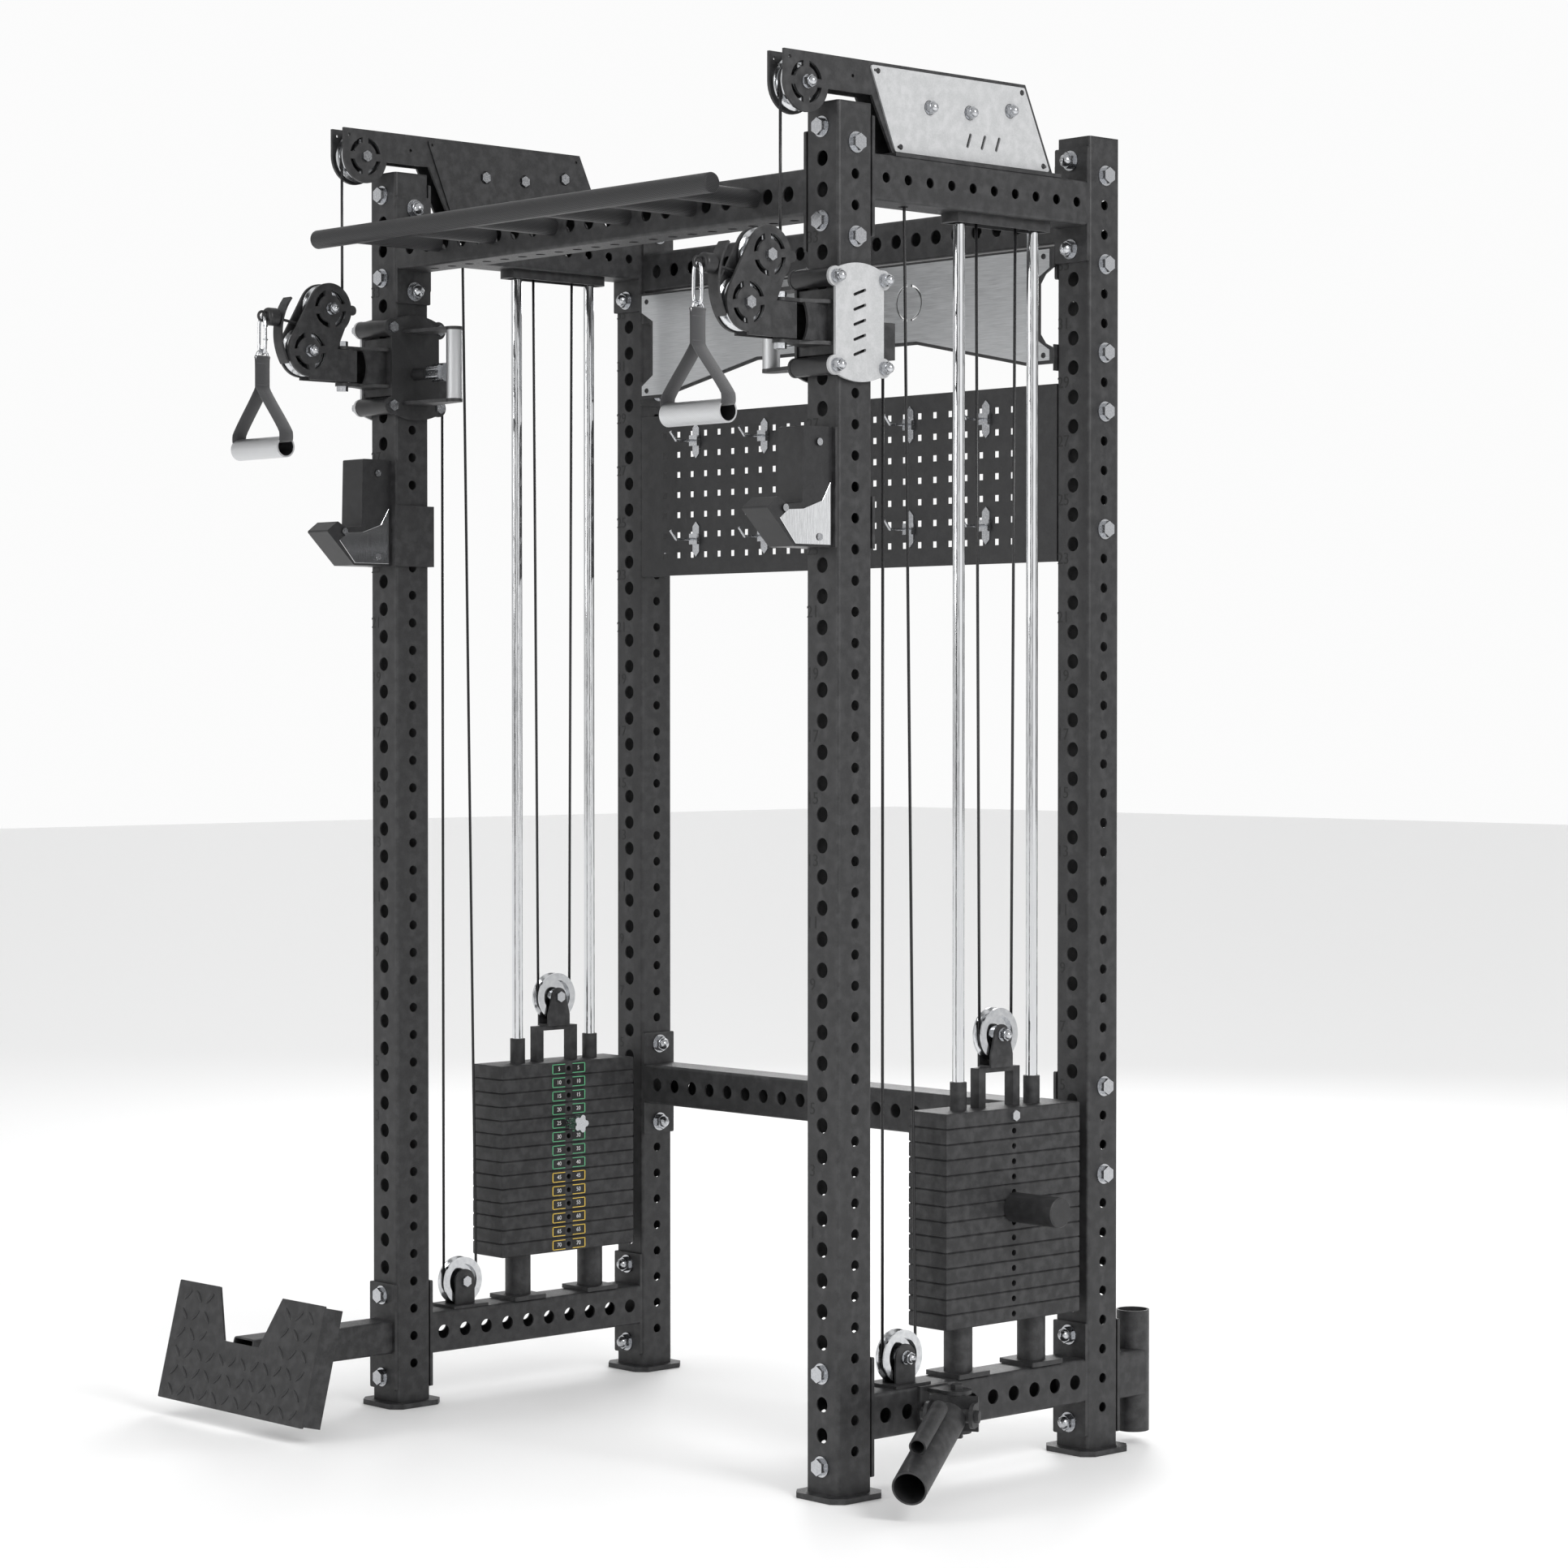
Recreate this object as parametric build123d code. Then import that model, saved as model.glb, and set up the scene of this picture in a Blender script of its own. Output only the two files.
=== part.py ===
from build123d import *
import math
import os

# Functional trainer: a four-post rack with two weight stacks and two sliding pulley carriages.
# Built about the centre of the four uprights, +X to the user's right, +Y to the rear, +Z up,
# then shifted so that the origin is the centre of the bounding box on the floor.

# ---- driving dimensions (mm) ----
POST_SPACING_X = 1160.0
POST_SPACING_Y = 588.0
RACK_HEIGHT = 2240.0
TUBE = 75.0
WALL = 3.0
TUBE_CORNER = 6.0
HOLE_PITCH = 50.0
FACE_HOLE_R = 12.5
SIDE_HOLE_R = 8.5
FIRST_FACE_HOLE = 53.0
FIRST_SIDE_HOLE = 78.0

FOOT_THICK = 9.0
FOOT_OVERHANG = 20.0
FLANGE_THICK = 6.0
FLANGE_MARGIN = 22.0
BOLT_OFFSET = 75.0
BOLT_R = 7.8
BOLT_AF = 24.0
BOLT_HEAD = 10.0
WASHER_R = 17.0
WASHER_THICK = 3.0

TOP_SIDE_BEAM_DOWN = 2
TOP_CROSS_BEAM_DOWN = 3
LOW_SIDE_BEAM_HOLE = 1
LOW_REAR_BEAM_HOLE = 10

GAP = 0.3
RUNNING_FIT = 0.06

PULLEY_R = 44.0
PULLEY_WIDTH = 20.0
CABLE_R = 2.5
CABLE_SINK = 6.0
CABLE_HOLE_R = 9.0
AXLE_R = 6.0
PLATE_THICK = 5.0
TOP_PLATE_HALF_GAP = 15.0
BRACKET_HALF_GAP = 12.0
BRACKET_THICK = 4.0
COVER_THICK = 3.0

STACK_WIDTH = 88.0
PLATE_CHAMFER = 1.8
STACK_LENGTH = 320.0
STACK_Y = 68.0
STACK_BASE = 250.0
STACK_ROWS = 14
LIFTED_ROWS = 5
ROW_PITCH = 25.5
ROD_R = 10.0
ROD_SPACING = 176.0
STEM_R = 10.0
POST_R = 24.0
PIN_R = 4.5
YOKE_HEIGHT = 66.0
COLLAR_HEIGHT = 46.0
PEG_R = 25.0
PEG_LENGTH = 107.0
PEG_ROW = 7

SHEET = 3.0
PANEL_DROP = 3.5
PANEL_HEIGHT = 200.0
PANEL_BOLT_DOWN = 7
PANEL_Y = 250.0
BOARD_TOP = 1828.0
BOARD_BASE = 1524.0
BOARD_PITCH = 38.0
BOARD_SLOT = 11.0
BOARD_ROWS = 7
BOARD_HOOK_X = (-384.0, -194.0, 188.0, 376.0)
BOARD_HOOK_Z = (1776.0, 1591.0)

FRONT_PULLEY_Y = -385.0
FRONT_PULLEY_RISE = 139.0
INNER_PULLEY_Y = -112.0
INNER_PULLEY_RISES = (125.0, 126.0, 139.0)
INNER_PULLEY_CLEAR = (5.0, 8.0)
LOW_PULLEY_Y = -158.0
LOW_PULLEY_CLEAR = 2.5
STACK_PULLEY_CLEAR = 11.0

CARRIAGE_Z = 1890.0
ROLLER_R = 15.2
ROLLER_PITCH_Z = 141.0
PLATE_CLEAR = 5.5
CARRIAGE_PLATE = 5.0
PLATE_SLOT_PITCH = 24.0
PLUNGER_R = 6.0
PLUNGER_BARREL = 36.0
PLUNGER_TRAVEL = 12.0
SWIVEL_Y = -423.0
UPPER_Z = 1988.0
SWIVEL_PULLEY_CLEAR = 2.0
SWIVEL_PULLEY_LEAN = 30.0
LOBE_MARGIN = 2.0
ARC_SLOT = (25.0, 34.0)
ARC_BRIDGE = 13.0
HEAD_HALF_GAP = 12.0
HEAD_PLATE = 5.0
GUARD_R = 104.0
GUARD_CENTRE = (-462.0, 1940.0)
EAR_Z = (1855.0, 1921.0)
GRIP_INSET = 161.0
GRIP_R = 14.5

HANDLE_Y = -597.0
HANDLE_TOP_Z = 1967.0
STOP_R = 16.0
WIRE_R = 3.0
LINK_HALF = 10.0
LINK_LENGTH = 64.0
RING_R = 12.0
RING_WIRE_R = 2.5
HANDLE_GRIP_Z = 1733.0
HANDLE_GRIP_R = 19.0
HANDLE_GRIP_LENGTH = 140.0
STRAP_WIDTH = 30.0

HOOK_TOP = 1722.0
HOOK_BASE = 1530.0
HOOK_SHELF = 1594.0
HOOK_PIN_HOLE = 33
HOOK_CLEAR = 0.5

PULL_BAR_Y = -518.0
PULL_BAR_R = 16.5
PULL_BAR_LENGTH = 1050.0
PULL_BAR_STUBS = (97.0, 264.0, 418.0)

FOOT_PLATE_WIDTH = 440.0
FOOT_PLATE_LENGTH = 213.0
FOOT_PLATE_TILT = 13.8
FOOT_PLATE_BASE = (-678.0, 30.0)
FOOT_ARM = 60.0
HOLDER_Y = 412.0
HOLDER_R = 28.5
HOLDER_BORE = 25.5
LANDMINE_REACH = 50.5
LANDMINE_Y = -112.0
YAW_DEG = -60.0
PITCH_DEG = 15.8
PITCH_REACH = 42.0
LANDMINE_R = 28.5
LANDMINE_BORE = 25.5
LANDMINE_LENGTH = 262.0
SMALL_TUBE_R = 14.0

# ---- values that follow from them ----
HALF_X = POST_SPACING_X / 2
HALF_Y = POST_SPACING_Y / 2
HALF_TUBE = TUBE / 2
INNER_X = HALF_X - HALF_TUBE
OUTER_X = HALF_X + HALF_TUBE
INNER_Y = HALF_Y - HALF_TUBE
OUTER_Y = HALF_Y + HALF_TUBE
FACE_HOLES = int((RACK_HEIGHT - FIRST_FACE_HOLE - 20) // HOLE_PITCH) + 1
SIDE_HOLES = int((RACK_HEIGHT - FIRST_SIDE_HOLE - 40) // HOLE_PITCH) + 1
STACK_TOP = STACK_BASE + STACK_ROWS * ROW_PITCH
BEAM_HALF_X = INNER_X - FLANGE_THICK
BEAM_HALF_Y = INNER_Y - FLANGE_THICK
CABLE_PATH_R = PULLEY_R - CABLE_SINK
GROOVE_R = CABLE_PATH_R - CABLE_R - GAP
HEAD_LOBE = PULLEY_R + LOBE_MARGIN
FLANGE_HALF = BOLT_OFFSET + FLANGE_MARGIN


def face_hole_z(index):
    return FIRST_FACE_HOLE + index * HOLE_PITCH


def side_hole_z(index):
    return FIRST_SIDE_HOLE + index * HOLE_PITCH


TOP_SIDE_Z = side_hole_z(SIDE_HOLES - TOP_SIDE_BEAM_DOWN)
LOW_SIDE_Z = side_hole_z(LOW_SIDE_BEAM_HOLE)
FRONT_BEAM_Z = face_hole_z(FACE_HOLES - TOP_CROSS_BEAM_DOWN)
LOW_REAR_Z = face_hole_z(LOW_REAR_BEAM_HOLE)
TOP_BEAM_TOP = TOP_SIDE_Z + HALF_TUBE
TOP_BEAM_BASE = TOP_SIDE_Z - HALF_TUBE
LOW_BEAM_TOP = LOW_SIDE_Z + HALF_TUBE
PANEL_TOP = FRONT_BEAM_Z - HALF_TUBE - PANEL_DROP
PANEL_BASE = PANEL_TOP - PANEL_HEIGHT
PANEL_BOLT_Z = side_hole_z(SIDE_HOLES - PANEL_BOLT_DOWN)
BOARD_BOLT_Z = (side_hole_z(30), side_hole_z(34))
FRONT_PULLEY = (FRONT_PULLEY_Y, TOP_SIDE_Z + FRONT_PULLEY_RISE)
SECOND_PULLEY_Y = INNER_PULLEY_Y + 2 * PULLEY_R + INNER_PULLEY_CLEAR[0]
THIRD_PULLEY_Y = SECOND_PULLEY_Y + 2 * PULLEY_R + INNER_PULLEY_CLEAR[1]
INNER_PULLEYS = (
    (INNER_PULLEY_Y, TOP_SIDE_Z + INNER_PULLEY_RISES[0]),
    (SECOND_PULLEY_Y, TOP_SIDE_Z + INNER_PULLEY_RISES[1]),
    (THIRD_PULLEY_Y, TOP_SIDE_Z + INNER_PULLEY_RISES[2]),
)
LOW_PULLEY = (LOW_PULLEY_Y, LOW_BEAM_TOP + PULLEY_R + LOW_PULLEY_CLEAR)
STACK_PULLEY_Z = STACK_TOP + YOKE_HEIGHT + PULLEY_R + STACK_PULLEY_CLEAR
STACK_FRONT_DROP = INNER_PULLEYS[1][0] + CABLE_PATH_R
STACK_REAR_DROP = INNER_PULLEYS[2][0] + CABLE_PATH_R
LOW_RISE = INNER_PULLEYS[0][0] - CABLE_PATH_R
CABLE_DROPS = (LOW_RISE, STACK_FRONT_DROP, STACK_REAR_DROP)
ROLLER_Y = HALF_TUBE + ROLLER_R + GAP
PLATE_IN = HALF_TUBE + PLATE_CLEAR
PIN_HOLE_Z = side_hole_z(36)
CABLE_TAB = (CARRIAGE_Z - 52, CARRIAGE_Z + 8)
UPPER = (SWIVEL_Y - CABLE_PATH_R, UPPER_Z)
SWIVEL_PULLEY_STEP = 2 * PULLEY_R + SWIVEL_PULLEY_CLEAR
LOWER = (
    UPPER[0] - SWIVEL_PULLEY_STEP * math.sin(math.radians(SWIVEL_PULLEY_LEAN)),
    UPPER[1] - SWIVEL_PULLEY_STEP * math.cos(math.radians(SWIVEL_PULLEY_LEAN)),
)
YAW_POINT = (OUTER_X + LANDMINE_REACH, LANDMINE_Y)
PIVOT_Z = HANDLE_TOP_Z - 2.2


# ---- shape helpers ----
def block(x, y, z):
    size = Box(x[1] - x[0], y[1] - y[0], z[1] - z[0])
    return Pos((x[0] + x[1]) / 2, (y[0] + y[1]) / 2, (z[0] + z[1]) / 2) * size


def rod_x(radius, x0, x1, y, z):
    return Pos((x0 + x1) / 2, y, z) * Rot(0, 90, 0) * Cylinder(radius, x1 - x0)


def rod_y(radius, y0, y1, x, z):
    return Pos(x, (y0 + y1) / 2, z) * Rot(90, 0, 0) * Cylinder(radius, y1 - y0)


def rod_z(radius, z0, z1, x, y):
    return Pos(x, y, (z0 + z1) / 2) * Cylinder(radius, z1 - z0)


def slab_x(sketch, x0, x1):
    return extrude(Plane.YZ.offset(x0) * sketch, amount=x1 - x0)


def slab_y(sketch, y0, y1):
    return extrude(Plane.XZ.offset(-y1) * sketch, amount=y1 - y0)


def slab_z(sketch, z0, z1):
    return extrude(Plane.XY.offset(z0) * sketch, amount=z1 - z0)


def outline(points, radius=0.0):
    face = make_face(Polyline(*points, close=True))
    if radius > 0:
        face = fillet(face.vertices(), radius)
    return face


def disc(radius, u, v):
    return Pos(u, v) * Circle(radius)


def square_ring(width, height, wall, corner):
    inner_corner = max(corner - wall, 0.5)
    hollow = RectangleRounded(width - 2 * wall, height - 2 * wall, inner_corner)
    return RectangleRounded(width, height, corner) - hollow


def mirrored(shape):
    return mirror(shape, about=Plane.YZ)


def both_sides(shapes):
    return list(shapes) + [mirrored(shape) for shape in shapes]


def solids_of(shapes):
    found = []
    for shape in shapes:
        found.extend(shape.solids())
    return found


NODES = {}


def node(name, shapes):
    NODES[name] = solids_of(shapes)


# ---- bolts, nuts and pulleys ----
def hex_prism(plane, across_flats, height):
    return extrude(plane * RegularPolygon(across_flats / 2, 6, major_radius=False), amount=height)


def bolt(start, direction, grip):
    # Head and washer outside the start face, plain shank through the grip and one nut's length.
    plane = Plane(origin=start, z_dir=direction)
    washer = extrude(plane * Circle(WASHER_R), amount=-WASHER_THICK)
    head = hex_prism(plane.offset(-WASHER_THICK), BOLT_AF, -BOLT_HEAD)
    shank = extrude(plane * Circle(BOLT_R), amount=grip + WASHER_THICK + BOLT_HEAD)
    return washer + head + shank


def dome_nut(start, direction, grip, across_flats=BOLT_AF, bore=BOLT_R, washer_r=WASHER_R):
    plane = Plane(origin=start, z_dir=direction).offset(grip)
    washer = extrude(plane * Circle(washer_r), amount=WASHER_THICK)
    nut = hex_prism(plane.offset(WASHER_THICK), across_flats, BOLT_HEAD)
    dome_centre = plane.offset(WASHER_THICK + BOLT_HEAD).origin
    dome_r = across_flats * 0.44
    dome = Pos(*dome_centre) * Sphere(dome_r)
    hole = extrude(plane * Circle(bore + RUNNING_FIT), amount=WASHER_THICK + BOLT_HEAD + 0.5)
    return washer + nut + dome - hole


def pulley(x, y, z):
    groove_half = 7.0
    profile = Polyline(
        (AXLE_R + RUNNING_FIT, -PULLEY_WIDTH / 2),
        (PULLEY_R, -PULLEY_WIDTH / 2),
        (PULLEY_R, -groove_half),
        (GROOVE_R, -CABLE_R),
        (GROOVE_R, CABLE_R),
        (PULLEY_R, groove_half),
        (PULLEY_R, PULLEY_WIDTH / 2),
        (AXLE_R + RUNNING_FIT, PULLEY_WIDTH / 2),
        close=True,
    )
    wheel = revolve(Plane.XZ * make_face(profile), Axis.Z)
    dish_r = GROOVE_R - 4
    hub_r = 14.0
    dish = extrude(Circle(dish_r) - Circle(hub_r), amount=PULLEY_WIDTH / 2 - 4)
    wheel = wheel - Pos(0, 0, 4) * dish - Pos(0, 0, -PULLEY_WIDTH / 2) * dish
    return Pos(x, y, z) * Rot(0, 90, 0) * wheel


def axle_set(x, y, z, half_outer, half_gap, nut_side=1):
    # Bolt through both ears, with a bush each side of the pulley and a dome nut.
    head_x = x - nut_side * half_outer
    grip = 2 * half_outer
    plane = Plane(origin=(head_x, y, z), z_dir=(nut_side, 0, 0))
    head = hex_prism(plane, 18.0, -7.0)
    shank = extrude(plane * Circle(AXLE_R), amount=grip + 9)
    parts = [head + shank]
    parts.append(dome_nut((head_x, y, z), (nut_side, 0, 0), grip, 18.0, AXLE_R, 11.0))
    for side in (-1, 1):
        lo = PULLEY_WIDTH / 2 + GAP
        ring = Circle(11.0) - Circle(AXLE_R + RUNNING_FIT)
        start = x + side * lo
        end = x + side * half_gap
        bush = extrude(Plane.YZ.offset(min(start, end)) * (Pos(y, z) * ring), amount=abs(end - start))
        parts.append(bush)
    return parts


# ---- rack frame ----
def upright(sign_x, sign_y):
    x = sign_x * HALF_X
    y = sign_y * HALF_Y
    height = RACK_HEIGHT - FOOT_THICK
    tube = Pos(x, y, FOOT_THICK) * extrude(square_ring(TUBE, TUBE, WALL, TUBE_CORNER), amount=height)
    reach = HALF_TUBE + 1
    cuts = [rod_y(FACE_HOLE_R, y - reach, y + reach, x, face_hole_z(i)) for i in range(FACE_HOLES)]
    cuts += [rod_x(SIDE_HOLE_R, x - reach, x + reach, y, side_hole_z(i)) for i in range(SIDE_HOLES)]
    foot = TUBE + 2 * FOOT_OVERHANG
    plate = chamfer(Rectangle(foot, foot).vertices(), FOOT_OVERHANG * 0.9)
    base = Pos(x, y, 0) * extrude(plate, amount=FOOT_THICK)
    cap = Pos(x, y, RACK_HEIGHT) * extrude(RectangleRounded(TUBE, TUBE, TUBE_CORNER), amount=SHEET)
    return [tube - cuts, base, cap]


def flange(x0, x1, centre_z, y, tall=FLANGE_HALF):
    # Bolting plate in the YZ plane with one hole above and one below the beam.
    sheet = RectangleRounded(TUBE, 2 * tall, 3.0)
    sheet = sheet - disc(BOLT_R + 0.7, 0, BOLT_OFFSET) - disc(BOLT_R + 0.7, 0, -BOLT_OFFSET)
    return slab_x(Pos(y, centre_z) * sheet, x0, x1)


def flange_y(y0, y1, centre_z, x, tall=FLANGE_HALF):
    sheet = RectangleRounded(TUBE, 2 * tall, 3.0)
    sheet = sheet - disc(BOLT_R + 0.7, 0, BOLT_OFFSET) - disc(BOLT_R + 0.7, 0, -BOLT_OFFSET)
    return slab_y(Pos(x, centre_z) * sheet, y0, y1)


def centred_row(count, pitch):
    return [(i - (count - 1) / 2) * pitch for i in range(count)]


def side_beam(centre_z, hole_r, drops=()):
    ring = square_ring(TUBE, TUBE, WALL, TUBE_CORNER)
    beam = slab_y(Pos(HALF_X, centre_z) * ring, -BEAM_HALF_Y, BEAM_HALF_Y)
    count = int((2 * BEAM_HALF_Y - 40) // HOLE_PITCH) + 1
    span = (HALF_X - HALF_TUBE - 1, HALF_X + HALF_TUBE + 1)
    cuts = [rod_x(hole_r, span[0], span[1], y, centre_z) for y in centred_row(count, HOLE_PITCH)]
    low, high = centre_z - HALF_TUBE - 1, centre_z + HALF_TUBE + 1
    cuts += [rod_z(CABLE_HOLE_R, low, high, HALF_X, y) for y in drops]
    parts = [beam - cuts]
    for sign in (-1, 1):
        ends = sorted((sign * BEAM_HALF_Y, sign * INNER_Y))
        parts.append(flange_y(ends[0], ends[1], centre_z, HALF_X))
    return parts


def cross_beam(y, centre_z, face_r, under_r):
    ring = square_ring(TUBE, TUBE, WALL, TUBE_CORNER)
    beam = slab_x(Pos(y, centre_z) * ring, -BEAM_HALF_X, BEAM_HALF_X)
    count = 2 * int((BEAM_HALF_X - 30) // HOLE_PITCH) + 1
    row = centred_row(count, HOLE_PITCH)
    cuts = [rod_y(face_r, y - HALF_TUBE - 1, y + HALF_TUBE + 1, x, centre_z) for x in row]
    low = centre_z - HALF_TUBE - 1
    cuts += [rod_z(under_r, low, low + WALL + 2, x + HOLE_PITCH / 2, y) for x in row[:-1]]
    parts = [beam - cuts]
    for sign in (-1, 1):
        ends = sorted((sign * BEAM_HALF_X, sign * INNER_X))
        parts.append(flange(ends[0], ends[1], centre_z, y))
    return parts


def pull_up_bar():
    z = FRONT_BEAM_Z
    bar = rod_x(PULL_BAR_R, -PULL_BAR_LENGTH / 2, PULL_BAR_LENGTH / 2, PULL_BAR_Y, z)
    bar = fillet(bar.edges().filter_by(GeomType.CIRCLE), 3.0)
    beam_face = -OUTER_Y
    stubs = []
    for x in both_signs(PULL_BAR_STUBS):
        stub = rod_y(PULL_BAR_R - 1.5, PULL_BAR_Y, beam_face, x, z)
        stubs.append(stub - rod_x(PULL_BAR_R, x - 40, x + 40, PULL_BAR_Y, z))
    return [bar] + stubs


def both_signs(values):
    return [-value for value in reversed(values)] + list(values)


def frame_fasteners():
    bolts = []
    nuts = []

    def fit(start, direction, grip):
        bolts.append(bolt(start, direction, grip))
        nuts.append(dome_nut(start, direction, grip))

    grip = TUBE + FLANGE_THICK
    for sign_x in (-1, 1):
        x = sign_x * HALF_X
        for centre_z in (TOP_SIDE_Z, LOW_SIDE_Z):
            for step in (-BOLT_OFFSET, BOLT_OFFSET):
                z = centre_z + step
                low_left = sign_x < 0 and centre_z == LOW_SIDE_Z
                low_right = sign_x > 0 and centre_z == LOW_SIDE_Z
                front_extra = FLANGE_THICK if low_left else 0.0
                rear_extra = FLANGE_THICK if low_right else 0.0
                fit((x, -OUTER_Y - front_extra, z), (0, 1, 0), grip + front_extra)
                fit((x, OUTER_Y + rear_extra, z), (0, -1, 0), grip + rear_extra)
        beams = ((-HALF_Y, FRONT_BEAM_Z), (HALF_Y, FRONT_BEAM_Z), (HALF_Y, LOW_REAR_Z))
        for y, centre_z in beams:
            for step in (-BOLT_OFFSET, BOLT_OFFSET):
                fit((sign_x * OUTER_X, y, centre_z + step), (-sign_x, 0, 0), grip)
        for z in (PANEL_BOLT_Z,) + BOARD_BOLT_Z:
            fit((sign_x * OUTER_X, HALF_Y, z), (-sign_x, 0, 0), TUBE + SHEET)
    return bolts, nuts


# ---- rear panel and pegboard ----
def side_tab(z0, z1, bolt_zs, lower_y):
    sheet = outline([(lower_y, z0), (HALF_Y + 25, z0), (HALF_Y + 25, z1), (lower_y, z1)])
    for z in bolt_zs:
        sheet = sheet - disc(BOLT_R + 0.7, HALF_Y, z)
    return slab_x(sheet, INNER_X - SHEET, INNER_X)


def rear_panel():
    half = INNER_X
    notch = half - 34
    arch_flat = 209.0
    arch_end = 475.0
    arch_rise = 54.0
    right = [
        (arch_flat, PANEL_BASE + arch_rise),
        (arch_end, PANEL_BASE),
        (half, PANEL_BASE),
        (half, PANEL_BASE + 26),
        (notch + 12, PANEL_BASE + 36),
        (notch, PANEL_BASE + 52),
        (notch, PANEL_TOP - 62),
        (notch + 12, PANEL_TOP - 46),
        (half, PANEL_TOP - 34),
        (half, PANEL_TOP),
    ]
    left = [(-x, z) for x, z in reversed(right)]
    back = slab_y(outline(right + left), PANEL_Y, PANEL_Y + SHEET)
    ring_x = 191.0
    ring_z = 1991.0
    slots = []
    for sign in (-1, 1):
        ring = Circle(33.0) - Circle(29.0) - Rectangle(8, 80)
        slots.append(slab_y(Pos(sign * ring_x, ring_z) * ring, PANEL_Y - 9, PANEL_Y + 9))
    tab = side_tab(PANEL_BASE - 12, PANEL_BASE + 33, (PANEL_BOLT_Z,), PANEL_Y)
    cover_side = [
        (arch_flat, PANEL_BASE + arch_rise + 6),
        (arch_end, PANEL_BASE + 6),
        (half - 10, PANEL_BASE + 6),
        (half - 10, PANEL_BASE + 24),
        (notch - 8, PANEL_BASE + 44),
        (notch - 8, PANEL_TOP - 54),
        (half - 10, PANEL_TOP - 36),
        (half - 10, PANEL_TOP - 4),
    ]
    cover_left = [(-x, z) for x, z in reversed(cover_side)]
    cover = slab_y(outline(cover_side + cover_left), PANEL_Y - 2, PANEL_Y)
    return [back - slots + tab + mirrored(tab)], [cover - slots]


def pegboard():
    board_y = INNER_Y
    half = INNER_X
    centre_z = (BOARD_TOP + BOARD_BASE) / 2
    sheet = Pos(0, centre_z) * Rectangle(2 * half, BOARD_TOP - BOARD_BASE)
    columns = int((2 * half - 90) // BOARD_PITCH)
    grid = GridLocations(BOARD_PITCH, BOARD_PITCH, columns, BOARD_ROWS)
    holes = [Pos(0, centre_z) * place * Rectangle(BOARD_SLOT, BOARD_SLOT) for place in grid]
    board = slab_y(sheet - holes, board_y, board_y + SHEET)
    tab = side_tab(BOARD_BASE, BOARD_TOP, BOARD_BOLT_Z, board_y)
    return [board + tab + mirrored(tab)]


def pegboard_hooks():
    hooks = []
    face = INNER_Y
    for x in BOARD_HOOK_X:
        for z in BOARD_HOOK_Z:
            plate = outline(
                [(-9, -24), (0, -33), (9, -24), (9, 24), (0, 33), (-9, 24)]
            )
            back = slab_y(Pos(x, z) * plate, face - 3, face)
            clip = block((x - 11, x + 11), (face - 10, face - 3), (z - 10, z + 10))
            path = Polyline(
                (x, face - 6, z),
                (x, face - 52, z - 2),
                (x, face - 66, z + 14),
            )
            start = Plane(origin=path @ 0, z_dir=path % 0)
            wire = sweep(start * Circle(2.5), path, transition=Transition.ROUND)
            hooks.append(back + clip + wire)
    return hooks


# ---- top pulley housing ----
def top_plate_outline():
    front_y, front_z = FRONT_PULLEY
    lobe = 48.0
    base = TOP_BEAM_TOP + FLANGE_THICK
    top = front_z + lobe
    body = outline(
        [
            (front_y - lobe, top),
            (117, top),
            (184, base),
            (-194, base),
            (-241, front_z - 6),
            (front_y, front_z - 6),
            (front_y - lobe, front_z),
        ]
    )
    body = body + disc(lobe, front_y, front_z)
    arcs = Circle(ARC_SLOT[1]) - Circle(ARC_SLOT[0])
    arcs = arcs - Rectangle(ARC_BRIDGE, 2 * HEAD_LOBE) - Rectangle(2 * HEAD_LOBE, ARC_BRIDGE)
    body = body - Pos(front_y, front_z) * arcs
    for y, z in (FRONT_PULLEY,) + INNER_PULLEYS:
        body = body - disc(AXLE_R + RUNNING_FIT, y, z)
    for y, z in ((front_y - 36, top - 12), (-283, front_z + 20)):
        body = body - disc(3.0, y, z)
    return body


def top_housing():
    sheet = top_plate_outline()
    inner = slab_x(sheet, HALF_X - TOP_PLATE_HALF_GAP - PLATE_THICK, HALF_X - TOP_PLATE_HALF_GAP)
    outer = slab_x(sheet, HALF_X + TOP_PLATE_HALF_GAP, HALF_X + TOP_PLATE_HALF_GAP + PLATE_THICK)
    foot = block(
        (HALF_X - HALF_TUBE + 3, HALF_X + HALF_TUBE - 3),
        (-200, 190),
        (TOP_BEAM_TOP, TOP_BEAM_TOP + FLANGE_THICK),
    )
    slots = []
    for y in CABLE_DROPS:
        slots.append(rod_z(CABLE_HOLE_R, TOP_BEAM_TOP - 1, TOP_BEAM_TOP + FLANGE_THICK + 1, HALF_X, y))
    return [inner, outer, foot - slots]


def top_cover(x0):
    front_y, front_z = FRONT_PULLEY
    top = front_z + 48.0 - 6
    base = TOP_BEAM_TOP + FLANGE_THICK + 3
    sheet = outline([(-246, top), (112, top), (174, base), (-190, base)], 4.0)
    for y, z in INNER_PULLEYS:
        sheet = sheet - disc(12.0, y, z)
    for y, z in ((-236, top - 8), (106, top - 8), (163, base + 8), (-183, base + 8)):
        sheet = sheet - disc(2.6, y, z)
    for index in range(3):
        sheet = sheet - Pos(-20 + 34 * index, base + 34) * SlotOverall(26, 6, rotation=70)
    return slab_x(sheet, x0, x0 + COVER_THICK)


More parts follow.
